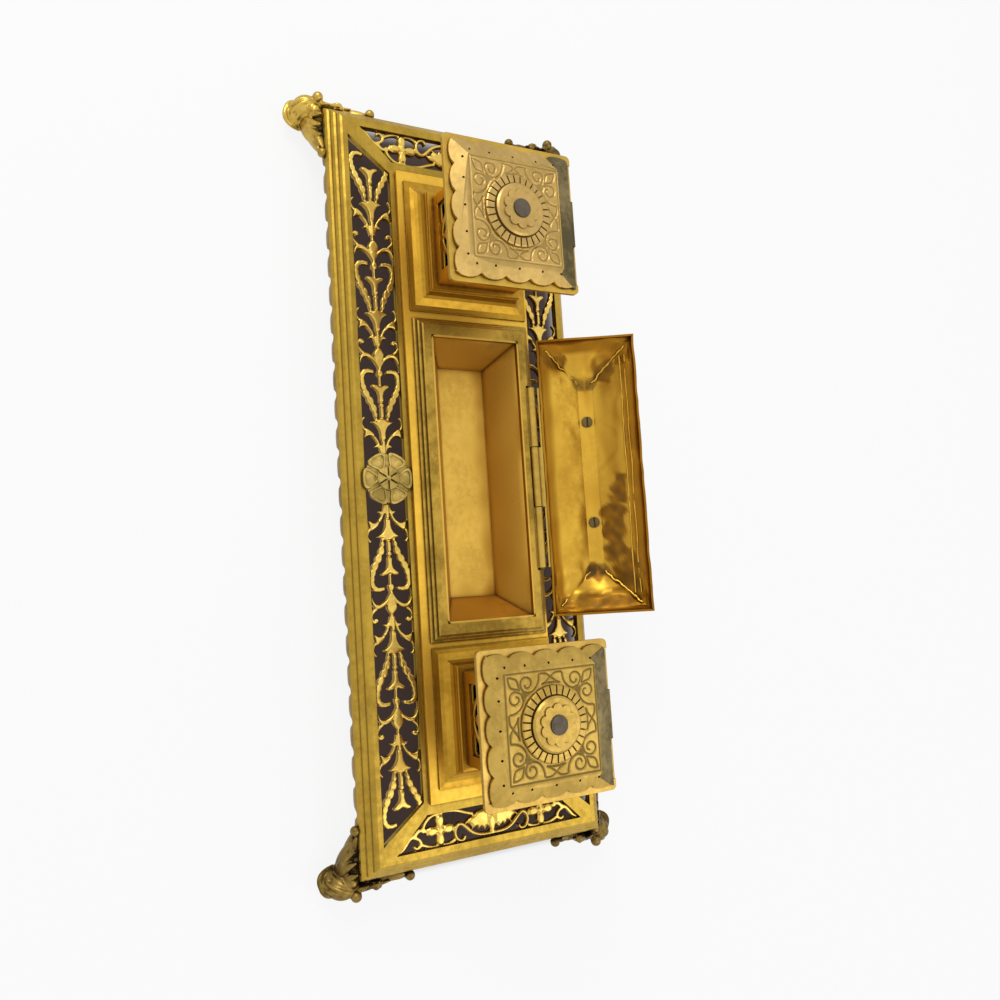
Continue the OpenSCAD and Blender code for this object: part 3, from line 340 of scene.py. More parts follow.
def gadrooned_apron(node, lobes):
    low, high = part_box(node)
    shape = merged_shape(node)
    long_way = 0 if high.x - low.x > high.y - low.y else 1
    outward = 1.0 if (low + high)[1 - long_way] > 0 else -1.0
    face = (high if outward > 0 else low)[1 - long_way] / mm
    start, pitch = low[long_way] / mm, (high - low)[long_way] / mm / lobes
    for lobe in range(lobes):
        middle = [0, 0, gadroon_z]
        middle[long_way] = start + (lobe + 0.5) * pitch
        middle[1 - long_way] = face - outward * 0.45
        half = [0.46 * pitch, gadroon_bulge, gadroon_rise]
        if long_way == 1:
            half[0], half[1] = half[1], half[0]
        lump(shape, middle, half)
    piece = new_piece(node + "_gadroons", shape)
    recast(piece, 0.42, 3)
    stand_in_for(piece, node, apron_brass)


for node, lobes in (("front_apron", 26), ("rear_apron", 26), ("left_apron", 9), ("right_apron", 9)):
    gadrooned_apron(node, lobes)

# ---- Fret panels ----
# Pierced and chased brass panels held under the frame plate: bellflowers, husk garlands
# and scrolls, with soft rounded edges, rubbed bright on their high places, with painted shade
# on their upright sides and in their hollows.
fret_brass = brass("fret brass", (0.86, 0.60, 0.14), (0.40, 0.235, 0.03), (0.03, 0.018, 0.008), reach=1.1,
                   edge=0.1, toning=0.6, side_shade=0.95, shine=0.22)
for node in ("front_fret", "rear_fret", "left_fret", "right_fret"):
    piece = new_piece(node + "_chased", merged_shape(node))
    recast(piece, 0.32, 2)
    # the skin is thinned, because the long panels are too heavy without it
    thinning = piece.modifiers.new("thinning", "DECIMATE")
    thinning.ratio = 0.7
    fix_modifiers(piece)
    stand_in_for(piece, node, fret_brass)

# ---- Rosettes ----
# Small castings of six hollow petals with raised rims, riveted over the middle of the long
# panels. The hollows keep a green-brown tarnish, deepened by painted shade.
rosette_brass = brass("rosette brass", (0.74, 0.52, 0.14), (0.20, 0.135, 0.03), (0.01, 0.008, 0.004),
                      reach=1.5, edge=0.2, toning=0.8, side_shade=0.9, soot_and_shade_amount=1.0)
for node in ("front_rosette", "rear_rosette"):
    piece = new_piece(node + "_cast", merged_shape(node))
    recast(piece, 0.17, 2)
    stand_in_for(piece, node, rosette_brass)

# ---- Feet ----
# Four castings: a lobed acanthus leaf wraps each corner of the apron, with a small ball at
# the end of each wing, a rolled scroll at the corner and a round toe under a turned-down leaf.
# One foot is still golden; the other three are brown with old polish and soot, and darker still as painted
# shade.
foot_brass = brass("foot brass", (0.66, 0.45, 0.09), (0.24, 0.14, 0.022), reach=2.0, edge=0.1, toning=0.8,
                   side_shade=0.15, shine=0.22)
# painted shade: a darker copy of the foot brass, for the three feet that stand in shadow
shaded_foot_brass = brass("shaded foot brass", (0.34, 0.22, 0.055), (0.075, 0.045, 0.012),
                          (0.012, 0.008, 0.004), reach=3.0, edge=0.1, toning=0.95, soot_and_shade_amount=1.0, side_shade=0.5,
                          shine=0.25)

# Each lobe of the leaf runs from the neck of the foot out along a wing and turns up to its
# point at the edge of the apron. Starts, bends and points are in millimetres from the
# apron's corner, along the front, out and down.
front_lobes = (((3.4, -4.6, -8.8), (0.6, -4.8, -6.4), (-1.6, -2.0, -0.4)),
               ((2.6, -6.0, -10.0), (-2.6, -6.0, -7.6), (-6.0, -2.4, -0.6)),
               ((1.6, -6.6, -11.4), (-6.0, -5.8, -8.4), (-10.2, -2.4, -1.0)),
               ((0.4, -6.0, -12.8), (-9.0, -4.8, -9.0), (-14.2, -2.2, -1.4)),
               ((-0.6, -4.6, -13.6), (-9.0, -2.6, -9.4), (-17.6, -1.8, -2.2)))
side_lobes = (((5.2, -3.4, -8.2), (6.0, -0.6, -6.0), (3.4, 2.2, -0.6)),
              ((6.0, -3.6, -10.0), (6.4, 3.0, -7.4), (3.4, 6.6, -0.8)),
              ((5.4, -3.2, -11.8), (5.6, 6.4, -8.4), (3.2, 11.4, -1.0)),
              ((4.2, -1.8, -13.2), (4.4, 9.4, -9.0), (2.8, 16.0, -1.6)),
              ((2.6, -0.2, -14.0), (2.8, 10.0, -9.4), (2.4, 20.0, -2.6)))
# The second leaf turns down over the toe and ends in a rolled rim.
toe_folds = (((5.6, -2.0, -4.4), (2.6, -6.0, -3.2), (-0.4, -9.0, -8.6)),
             ((5.8, -2.4, -4.2), (4.2, -8.2, -2.6), (1.6, -11.0, -8.4)),
             ((6.0, -2.6, -4.4), (6.2, -8.6, -3.0), (4.4, -11.2, -8.6)),
             ((6.2, -2.2, -4.8), (8.0, -7.0, -3.8), (6.8, -9.4, -9.2)))
rolled_rim = (((-2.6, -7.4, -12.8), (-1.8, -15.2, -10.4), (3.2, -13.2, -10.2)),
              ((3.2, -13.2, -10.2), (8.6, -11.8, -10.2), (7.4, -5.6, -12.4)))


apron_corner = Vector((155.2, -55.55, 17.1))


def foot_casting():
    shape = bmesh.new()

    def blob(place, half, along=(1, 0, 0), up=(0, 0, 1)):
        lump(shape, apron_corner + Vector(place), half, along, up)

    # a rib is cast along a bend, and its girth goes from one size to another
    def rib(start, bend, end, girths, flat, step_length=0.9):
        start, bend, end = Vector(start), Vector(bend), Vector(end)
        steps = max(4, round(((bend - start).length + (end - bend).length) / step_length))
        for step in range(steps + 1):
            u = step / steps
            spot = start * (1 - u) ** 2 + bend * 2 * u * (1 - u) + end * u * u
            ahead = (bend - start) * (1 - u) + (end - bend) * u
            girth = girths[0] * (1 - u) ** 2 + girths[1] * 2 * u * (1 - u) + girths[2] * u * u
            blob(spot, (1.5 * step_length, girth, 0.75 * girth), ahead, flat)

    for lobes, out in ((front_lobes, (0, 1, 0)), (side_lobes, (1, 0, 0))):
        for start, bend, end in lobes:
            rib(start, bend, end, (1.6, 2.9, 0.6), out)
    # the body behind the leaf
    blob((-5.5, -1.2, -4.6), (12.0, 1.3, 2.9), (1, 0, -0.42), (0, 1, 0))
    blob((-11.8, -1.7, -4.4), (6.4, 1.0, 2.2), (1, 0, -0.5), (0, 1, 0))
    blob((1.6, 8.0, -4.4), (11.5, 1.4, 2.7), (0, 1, 0.4), (1, 0, 0))
    blob((2.4, 14.2, -4.6), (6.4, 1.0, 2.2), (0, 1, 0.5), (1, 0, 0))
    blob((2.0, -2.4, -7.6), (3.8, 3.8, 5.4))
    blob((-0.6, -2.8, -9.8), (3.4, 2.6, 3.6))
    # the small balls that end the wings, the rolled scroll and the corner ball
    blob((-18.4, -1.5, -0.4), (2.1, 2.1, 2.1))
    blob((3.0, 21.0, -1.6), (2.1, 2.1, 2.1))
    scroll_place = Matrix.Translation((apron_corner + Vector((4.0, 7.1, -3.3))) * mm)
    bmesh.ops.create_cone(shape, cap_ends=True, segments=20, radius1=2.2 * mm, radius2=2.2 * mm,
                          depth=3.0 * mm, matrix=scroll_place @ Matrix.Rotation(math.radians(90), 4, "Y"))
    blob((5.6, 7.1, -3.3), (0.9, 1.2, 1.2))
    blob((7.0, -1.4, -3.0), (2.3, 2.3, 2.3))
    # the round toe under its leaf
    blob((2.6, -8.4, -12.2), (4.9, 4.9, 4.85))
    blob((3.4, -6.2, -8.4), (4.3, 4.6, 4.6))
    for start, bend, end in toe_folds:
        rib(start, bend, end, (1.1, 1.7, 1.0), (1, 0, 0.3))
    for start, bend, end in rolled_rim:
        rib(start, bend, end, (1.2, 1.2, 1.2), (0, 0, 1), 0.7)
    bmesh.ops.bisect_plane(shape, geom=shape.verts[:] + shape.edges[:] + shape.faces[:], dist=0.0001 * mm,
                           plane_co=(0, 0, 0), plane_no=(0, 0, -1), clear_outer=True)
    bmesh.ops.holes_fill(shape, edges=[edge for edge in shape.edges if edge.is_boundary])
    piece = new_piece("foot_pattern", shape)
    recast(piece, 0.34, 2)
    return piece


pattern = foot_casting()
for name, flip_x, flip_y in (("front_right_foot", False, False), ("front_left_foot", True, False),
                             ("rear_right_foot", False, True), ("rear_left_foot", True, True)):
    shape = bmesh.new()
    shape.from_mesh(pattern.data)
    bmesh.ops.scale(shape, vec=(-1 if flip_x else 1, -1 if flip_y else 1, 1), verts=shape.verts)
    if flip_x != flip_y:
        bmesh.ops.reverse_faces(shape, faces=shape.faces)
    piece = new_piece(name + "_cast", shape)
    piece.data.shade_smooth()
    stand_in_for(piece, name, foot_brass if name == "front_left_foot" else shaded_foot_brass)
bpy.data.objects.remove(pattern)

dark_brass = brass("dark brass", (0.16, 0.11, 0.04), (0.08, 0.055, 0.022), (0.02, 0.015, 0.01), shine=0.35)
finish_node("foot_screws", dark_brass)

# ---- Platform and surround ----
# A flat plate carries the wells and the stepped surround of the tray. The grooves of the steps
# are dark and green, partly old polish and partly painted shade.
platform_brass = brass("platform brass", (0.88, 0.54, 0.068), (0.54, 0.31, 0.04), side_shade=0.4, reach=1.8,
                       toning=0.4, shine=0.38)
finish_node("platform", platform_brass)
surround_brass = brass("surround brass", (0.54, 0.335, 0.056), (0.21, 0.125, 0.018), (0.012, 0.012, 0.005),
                       toning=0.8, reach=1.5, edge=0.12, side_shade=0.9, specks=0.5, soot_and_shade_amount=1.0)
finish_node("box_surround", surround_brass)

# ---- Tray ----
# The tray is bent up from thin sheet and soldered at its corners. Its floor has gone pale
# and is pitted by ink; its walls are orange brown, with dirt in the seams.


def share(value):
    return min(1.0, max(0.0, value))


# A rectangle of sheet is drawn up or down in steps: each step gives half-length, half-width
# and height, and the last one is closed with a flat sheet.
def draw_sheet(shape, steps):
    bmesh.ops.create_grid(shape, x_segments=1, y_segments=1, size=1.0)
    bmesh.ops.scale(shape, vec=(steps[0][0] * mm, steps[0][1] * mm, 1), verts=shape.verts)
    bmesh.ops.translate(shape, vec=(0, 0, steps[0][2] * mm), verts=shape.verts)
    bmesh.ops.delete(shape, geom=shape.faces[:], context="FACES_ONLY")
    ring = shape.edges[:]
    for before, after in zip(steps, steps[1:]):
        drawn = bmesh.ops.extrude_edge_only(shape, edges=ring)["geom"]
        ring = [part for part in drawn if isinstance(part, bmesh.types.BMEdge)]
        corners = [part for part in drawn if isinstance(part, bmesh.types.BMVert)]
        bmesh.ops.scale(shape, vec=(after[0] / before[0], after[1] / before[1], 1), verts=corners)
        bmesh.ops.translate(shape, vec=(0, 0, (after[2] - before[2]) * mm), verts=corners)
    bmesh.ops.contextual_create(shape, geom=ring)


def lies_along(edge, way):
    return abs((edge.verts[1].co - edge.verts[0].co).normalized().dot(way)) > 0.98


# Loops are cut until no edge of the sheet is longer than the pitch, so that it can be beaten.
def cut_loops(shape, pitch):
    for way in (Vector((1, 0, 0)), Vector((0, 1, 0)), None):
        long_edges = [edge for edge in shape.edges if edge.calc_length() > 1.05 * pitch * mm
                      and (way is None or lies_along(edge, way))]
        if long_edges:
            longest = max(edge.calc_length() for edge in long_edges)
            cuts = max(1, math.ceil(longest / (pitch * mm)) - 1)
            bmesh.ops.subdivide_edges(shape, edges=long_edges, cuts=cuts, use_grid_fill=True)


def set_marks(mesh, stain, dirt):
    for label, values in (("stain", stain), ("dirt", dirt)):
        marks = mesh.attributes.new(label, "FLOAT", "POINT")
        marks.data.foreach_set("value", [share(value) for value in values])


def waves(point, size, seed=0.0):
    return noise.noise(Vector(point) / (size * mm) + Vector((seed, seed * 0.7, -seed)))


tray_brass = brass("tray brass", (0.72, 0.45, 0.08), (0.30, 0.125, 0.006), (0.05, 0.026, 0.006), shine=0.34,
                   reach=3.0, edge=0.1, toning=0.3, soot_and_shade_amount=0.85, side_shade=0.9, specks=1.0, marked=True)
tray_low, tray_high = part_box("box_tray")
tray_middle = (tray_low + tray_high) / 2
tray_wall, tray_run, rim_drop = 0.8, 9.5, 2.0
mouth_x = (tray_high.x - tray_low.x) / mm / 2
mouth_y = (tray_high.y - tray_low.y) / mm / 2
rim_z, floor_z = tray_high.z / mm, tray_low.z / mm
sheet = bmesh.new()
draw_sheet(sheet, ((mouth_x, mouth_y, rim_z), (mouth_x, mouth_y, rim_z - rim_drop),
                   (mouth_x - tray_run, mouth_y - tray_run, floor_z)))
bmesh.ops.translate(sheet, vec=(tray_middle.x, tray_middle.y, 0), verts=sheet.verts)
cut_loops(sheet, 1.5)
bmesh.ops.recalc_face_normals(sheet, faces=sheet.faces)
stain, dirt = [], []
for vert in sheet.verts:
    x, y, z = (vert.co.x - tray_middle.x) / mm, (vert.co.y - tray_middle.y) / mm, vert.co.z / mm
    flat = z < floor_z + 0.2
    below_rim = z < rim_z - rim_drop - 0.1
    if below_rim:
        vert.co.z += 0.12 * mm * waves(vert.co, 14, 3)
    if below_rim and not flat:
        vert.co.y += 0.2 * mm * waves(vert.co, 16, 7)
        vert.co.x += 0.2 * mm * waves(vert.co, 16, 11)
    behind = share((y - 3.5) / 5.0) * 0.45
    ends = share((abs(x) - 40.0) / 9.0) * 0.4
    stain.append((behind + ends + 0.25 * waves(vert.co, 9, 1)) if flat else 0.15)
    seam = max(0.0, 1.0 - abs(abs(x) - mouth_x + tray_run) / 1.6) * max(0.0, 1.0 - abs(z - floor_z) / 2.4)
    corner = 0.25 if not flat and abs(x) > mouth_x - 6 and y > 8 else 0.0
    dirt.append(0.35 * seam + corner * (0.5 + waves(vert.co, 5)))
tray = new_piece("box_tray_sheet", sheet)
set_marks(tray.data, stain, dirt)
wall = tray.modifiers.new("sheet", "SOLIDIFY")
wall.thickness = tray_wall * mm
wall.offset = -1.0
fix_modifiers(tray)
tray.data.shade_smooth()
tray.data.set_sharp_from_angle(angle=math.radians(35))
stand_in_for(tray, "box_tray", tray_brass)

# ---- Centre hinge ----
# A three-knuckle hinge of drawn brass along the back of the surround.
hinge_brass = brass("hinge brass", (0.56, 0.37, 0.075), (0.26, 0.15, 0.022), toning=0.5, reach=1.6, side_shade=0.1)
for name in ("box_hinge_leaf", "box_lid_hinge_leaf"):
    finish_node(name, hinge_brass)
finish_node("box_hinge_pin", dark_brass)

# ---- Centre lid ----
# The hip-shaped lid is bent from thin sheet and soldered along its hips. Inside it is left
# golden, with an orange band at the skirt, partly stain and partly painted shade where the sheet
# curves, wrinkled ends and drips of solder at the hips.
lid_brass = brass("lid brass", (0.74, 0.44, 0.052), (0.32, 0.14, 0.01), (0.05, 0.03, 0.008), shine=0.2,
                  reach=2.0, edge=0.1, toning=0.4, soot_and_shade_amount=0.85, side_shade=0.0, pits=0.45, marked=True)
lid_joint = next(joint for joint in frame["joints"] if joint["name"] == "centre_lid_hinge")
hinge_line = Vector(lid_joint["pos_m"])
open_turn = Matrix.Rotation(math.radians(-151.0), 4, "X")
lid_x, lid_y, lid_mid = 60.1, 21.25, -24.85
skirt_z, ridge_z, ridge_half = 1.5, 12.5, 3.5
cove_in, cove_rise, hip_slope = 3.4, 3.3, 0.5366
lid_steps = [(lid_x, lid_y, 0.2), (lid_x, lid_y, skirt_z)]
for turn in (22.5, 45.0, 67.5, 90.0):
    inset = cove_in * (1 - math.cos(math.radians(turn)))
    lid_steps.append((lid_x - inset, lid_y - inset, skirt_z + cove_rise * math.sin(math.radians(turn))))
lid_steps.append((lid_x - lid_y + ridge_half, ridge_half, ridge_z))
sheet = bmesh.new()
draw_sheet(sheet, lid_steps)
cut_loops(sheet, 1.5)
bmesh.ops.recalc_face_normals(sheet, faces=sheet.faces)


# A patch of stain with a ragged edge, 1 in its middle and 0 outside.
def patch(x, y, middle, half, seed):
    ragged = 0.7 * noise.noise(Vector((x / 4.5, y / 4.5, seed)))
    away = math.hypot((x - middle[0]) / half[0], (y - middle[1]) / half[1]) + ragged
    return share((1.15 - away) / 0.25)


# A crease runs where a slow wave passes through nothing.
def crease(point, size, seed, sharp):
    return max(0.0, 1.0 - abs(waves(point, size, seed)) * sharp)


olive_patches = (((25.0, -8.0), (15.0, 4.6), 1), ((44.0, -13.0), (9.0, 5.0), 2),
                 ((-47.0, -8.0), (5.0, 4.5), 3), ((-52.0, 13.0), (4.0, 5.0), 4), ((42.5, 1.5), (4.0, 4.5), 5),
                 ((54.5, 2.0), (3.0, 14.0), 6), ((6.0, -12.0), (7.0, 3.0), 7))
stain, dirt = [], []
for vert in sheet.verts:
    x, y, z = vert.co.x / mm, vert.co.y / mm, vert.co.z / mm
    ends = share((abs(x) - 38.0) / 14.0)
    far = share((-y - 2.0) / 6.0)
    slope = share((z - 1.6) / 3.0) * min(1.0, max(0.15, (12.7 - z) / 2.0))
    buckle = 0.5 * waves(vert.co, 22, 5) + (0.3 + ends) * 1.3 * waves(vert.co, 9, 2)
    buckle -= (0.1 + 0.7 * ends) * crease(vert.co, 11, 9, 5.0) + 0.45 * far * crease(vert.co, 14, 13, 6.0)
    vert.co.z += slope * buckle * mm
    low_edge = share((3.0 - z) / 2.0)
    wave = abs(waves(Vector((vert.co.x, vert.co.y * 0.3, 0)), 10, 4))
    vert.co.y -= low_edge * 0.5 * wave * mm * (1 if y > 0 else -1)
    vert.co.x -= low_edge * 0.5 * wave * mm * (1 if x > 0 else -1) * (1.0 if abs(x) > 58 else 0.0)
    # the orange band at the skirt is stain and also painted shade of the curve, carried up past the cove
    skirt_tone_and_shade = share((6.2 - z) / 1.2)
    ridge = max(0.0, 1.0 - abs(z - ridge_z) / 0.5) * 0.2
    hip = max(0.0, 1.0 - abs((lid_x - abs(x)) - (lid_y - abs(y))) / 2.0) if z > 4.5 else 0.0
    smudge = patch(abs(x), abs(y), (42.3, 3.0), (3.4, 3.4), 8)
    olive = max(patch(x, y, *spot) for spot in olive_patches)
    streak = max(0.0, waves(Vector((vert.co.x * 0.3, vert.co.y, 0)), 5, 21))
    stain.append(0.85 * skirt_tone_and_shade + ridge + 0.4 * ends + 0.5 * far + 0.8 * olive + 0.3 * hip + 0.5 * streak)
    dirt.append(0.6 * smudge + 0.1 * far + 0.5 * olive * (0.7 + waves(vert.co, 3, 71))
                + 0.3 * hip * max(0.0, waves(vert.co, 4, 51)) + 0.25 * skirt_tone_and_shade * max(0.0, waves(vert.co, 6, 61)))
lid = new_piece("box_lid_sheet", sheet)
set_marks(lid.data, stain, dirt)
wall = lid.modifiers.new("sheet", "SOLIDIFY")
wall.thickness = 0.9 * mm
wall.offset = -1.0
fix_modifiers(lid)
lid.data.shade_smooth()
lid.data.set_sharp_from_angle(angle=math.radians(40))


# A run of solder lies along a seam, thick and thin by turns.
def solder_run(points, radius, seed):
    line = bpy.data.curves.new("solder", "CURVE")
    line.dimensions = "3D"
    line.bevel_depth = radius * mm
    line.bevel_resolution = 2
    line.use_fill_caps = True
    path = line.splines.new("POLY")
    path.points.add(len(points) - 1)
    for place, point in enumerate(points):
        path.points[place].co = (*(Vector(point) * mm), 1.0)
        path.points[place].radius = 0.75 + 0.9 * abs(noise.noise(Vector((place * 0.37, seed, 0.5))))
    bead = bpy.data.objects.new("solder", line)
    bpy.context.collection.objects.link(bead)
    return bead


# Height of the lid's inner face at a distance in from its edge.
def inner_height(inset):
    return skirt_z + cove_rise + (inset - cove_in) * hip_slope - 1.05


hips = []
for end in (-1, 1):
    for front, radius in ((-1, 0.55), (1, 0.34)):
        run = []
        for step in range(30):
            inset = 4.0 + 14.0 * step / 29
            drift = 0.7 * noise.noise(Vector((step * 0.25, end * 3.0, front)))
            run.append((end * (lid_x - inset + drift), front * (lid_y - inset - drift),
                        inner_height(inset) - 0.1))
        hips.append(solder_run(run, radius, end + 0.3 * front))
for inset, radius in ((4.3, 0.36), (6.4, 0.44)):
    run = []
    for step in range(60):
        x = -52.0 + 104.0 * step / 59
        drift = 0.5 * noise.noise(Vector((step * 0.11, inset, 0)))
        run.append((x, -lid_y + inset + drift, inner_height(inset + drift) - 0.12))
    hips.append(solder_run(run, radius, inset))
graph = bpy.context.evaluated_depsgraph_get()
whole = bmesh.new()
whole.from_mesh(lid.data)
for bead in hips:
    run = bpy.data.meshes.new_from_object(bead.evaluated_get(graph))
    whole.from_mesh(run)
    bpy.data.objects.remove(bead)
bmesh.ops.translate(whole, vec=(0, lid_mid * mm, 0), verts=whole.verts)
bmesh.ops.transform(whole, matrix=Matrix.Translation(hinge_line) @ open_turn, verts=whole.verts)
whole.to_mesh(lid.data)
whole.free()
stand_in_for(lid, "box_lid", lid_brass)
finish_node("box_lid_handle", frame_brass)
finish_node("box_handle_screws", dark_brass)

# ---- Well plinths and casings ----
# Each well is a square casing on a coved plinth, with pierced screens in its windows.
plinth_brass = brass("plinth brass", (0.52, 0.29, 0.03), (0.26, 0.125, 0.01), side_shade=0.35, reach=3.5,
                     edge=0.15)
well_brass = brass("well brass", (0.56, 0.30, 0.03), (0.32, 0.15, 0.012), (0.02, 0.01, 0.004), side_shade=0.2)
screen_brass = brass("screen brass", (0.62, 0.36, 0.05), (0.30, 0.15, 0.016), (0.02, 0.01, 0.004), reach=1.4,
                     edge=0.1, side_shade=0.2)
glass = bpy.data.materials.new("clear glass")
glass.use_nodes = True
glass_shader = glass.node_tree.nodes["Principled BSDF"]
glass_shader.inputs["Transmission Weight"].default_value = 1.0
glass_shader.inputs["Roughness"].default_value = 0.04
glass_shader.inputs["Base Color"].default_value = (0.86, 0.92, 0.9, 1)
for side in ("left", "right"):
    finish_node(side + "_well_plinth", plinth_brass)
    finish_node(side + "_well_body", well_brass)
    screens = new_piece(side + "_well_screens_chased", merged_shape(side + "_well_screens"))
    recast(screens, 0.3, 3)
    stand_in_for(screens, side + "_well_screens", screen_brass)
    finish_node(side + "_inkwell_glass", glass)

# ---- Well lids ----
# Each lid is cast with a sloping border of lobes, one punched dot to a lobe, and a flat square
# engraved with scrolls, leaves and crossed lines. It has gone paler and greyer than the stand.
lid_half = 27.0
square_half = 20.1
lid_top = 69.0
leaf_line = ((1.7, 1.7), (3.4, 1.9), (5.2, 2.7), (5.9, 4.4), (6.4, 6.4))
scroll_line = ((8.7, 4.9), (9.1, 5.8), (10.2, 6.0), (11.2, 5.2), (11.5, 3.9), (10.9, 2.7), (9.7, 2.1),
               (8.3, 2.3), (7.3, 3.2), (6.9, 4.6), (7.3, 6.0), (8.3, 7.2), (10.2, 7.8), (12.0, 7.4),
               (13.4, 6.3), (14.4, 4.7), (14.9, 3.0), (15.1, 1.6), (16.6, 1.35), (18.3, 1.6), (19.5, 2.4),
               (21.0, 3.5), (22.4, 4.6), (24.0, 5.3))
brace_line = ((16.4, 5.3), (18.2, 5.0), (20.1, 5.0))
ray_lines = (((7.6, 7.6), (8.9, 9.2)), ((8.2, 7.4), (9.7, 8.7)), ((9.0, 7.3), (10.4, 8.3)))
dot_places = (-18.7, -10.6, 0.0, 10.4, 19.0)


def smooth_line(points, steps=5):
    spots = [Vector((*point, 0)) for point in points]
    if len(spots) < 3:
        return [spots[0].lerp(spots[-1], step / 4) for step in range(5)]
    padded = [spots[0] * 2 - spots[1]] + spots + [spots[-1] * 2 - spots[-2]]
    line = []
    for a, b, c, d in zip(padded, padded[1:], padded[2:], padded[3:]):
        for step in range(steps):
            u = step / steps
            line.append(0.5 * (2 * b + (c - a) * u + (2 * a - 5 * b + 4 * c - d) * u * u
                               + (3 * b - a - 3 * c + d) * u ** 3))
    return line + [spots[-1]]


# All the cuts of one lid, as short straight strokes in millimetres from its middle.
def lid_strokes():
    corner = [smooth_line(leaf_line), smooth_line(scroll_line), smooth_line(brace_line)]
    corner += [smooth_line(line) for line in ray_lines]
    corner += [[Vector((p.y, p.x, 0)) for p in line] for line in corner]
    strokes = []
    for quarter in range(4):
        turn = Matrix.Rotation(math.radians(90 * quarter), 3, "Z")
        for line in corner:
            spots = [turn @ Vector((p.x - square_half, p.y - square_half, 0)) for p in line]
            strokes += list(zip(spots, spots[1:]))
        edge = [turn @ Vector((x * (square_half - 0.3), 0.3 - square_half, 0)) for x in (-1, 1)]
        strokes += [(edge[0].lerp(edge[1], n / 20), edge[0].lerp(edge[1], (n + 1) / 20)) for n in range(20)]
    return strokes


# How deep the graver has gone at each place of a fine net over the square, from 0 to 1.
def graver_net(pitch, width):
    span = int(square_half / pitch) + 2
    deep = {}
    for start, end in lid_strokes():
        along = end - start
        length = max(along.length_squared, 1e-9)
        low = (min(start.x, end.x) - width, min(start.y, end.y) - width)
        high = (max(start.x, end.x) + width, max(start.y, end.y) + width)
        near = [range(max(-span, math.floor(low[way] / pitch)), min(span, math.ceil(high[way] / pitch)) + 1)
                for way in (0, 1)]
        for i in near[0]:
            for j in near[1]:
                spot = Vector((i * pitch, j * pitch, 0))
                u = share((spot - start).dot(along) / length)
                gap = (spot - start - along * u).length
                if gap < width:
                    deep[i, j] = max(deep.get((i, j), 0.0), 1.0 - gap / width)
    return deep


# The largest face that lies level at the top of a lid.
def flat_square(shape):
    level = [face for face in shape.faces
             if face.calc_center_median().z > (lid_top - 0.05) * mm and face.normal.z > 0.9]
    return max(level, key=lambda face: face.calc_area())


net_pitch = 0.24
graver = graver_net(net_pitch, 0.5)
cut_depth = {"left": 0.4, "right": 0.32}
# the cuts hold dirt on both lids; the right lid's are darkened much further as painted shade, the left's stay
# light
cut_dirt_and_shade = {"left": 0.2, "right": 0.7}
lid_metal = {
    "left": brass("left lid brass", (0.60, 0.395, 0.125), (0.33, 0.22, 0.065), (0.05, 0.04, 0.02),
                  toning=0.6, reach=0.8, edge=0.1, side_shade=0.0, shine=0.28, marked=True),
    "right": brass("right lid brass", (0.56, 0.37, 0.085), (0.27, 0.165, 0.032), (0.035, 0.024, 0.01),
                   toning=0.6, reach=0.8, edge=0.1, side_shade=0.0, shine=0.28, marked=True)}
boss_metal = {
    "left": brass("left boss brass", (0.60, 0.395, 0.125), (0.33, 0.22, 0.065), (0.16, 0.10, 0.04),
                  toning=0.6, reach=0.9, edge=0.15, side_shade=0.2, soot_and_shade_amount=0.6),
    "right": brass("right boss brass", (0.58, 0.38, 0.09), (0.27, 0.165, 0.032), (0.04, 0.025, 0.01),
                   toning=0.6, reach=0.9, edge=0.15, side_shade=0.2, soot_and_shade_amount=0.85)}
plate_metal = {
    "left": brass("left plate brass", (0.66, 0.42, 0.07), (0.30, 0.19, 0.04), toning=0.45, reach=1.0,
                  side_shade=0.5, edge=0.3),
    "right": brass("right plate brass", (0.66, 0.42, 0.10), (0.30, 0.185, 0.035), toning=0.45, reach=1.0,
                   side_shade=0.5, edge=0.3)}
# painted shade: a dark olive brass for the rear border slope of each lid
rear_slope_shade = brass("rear slope shade brass", (0.26, 0.20, 0.09), (0.10, 0.08, 0.035), (0.02, 0.02, 0.012), toning=1.0,
                  reach=2.0, side_shade=0.0, shine=0.34)
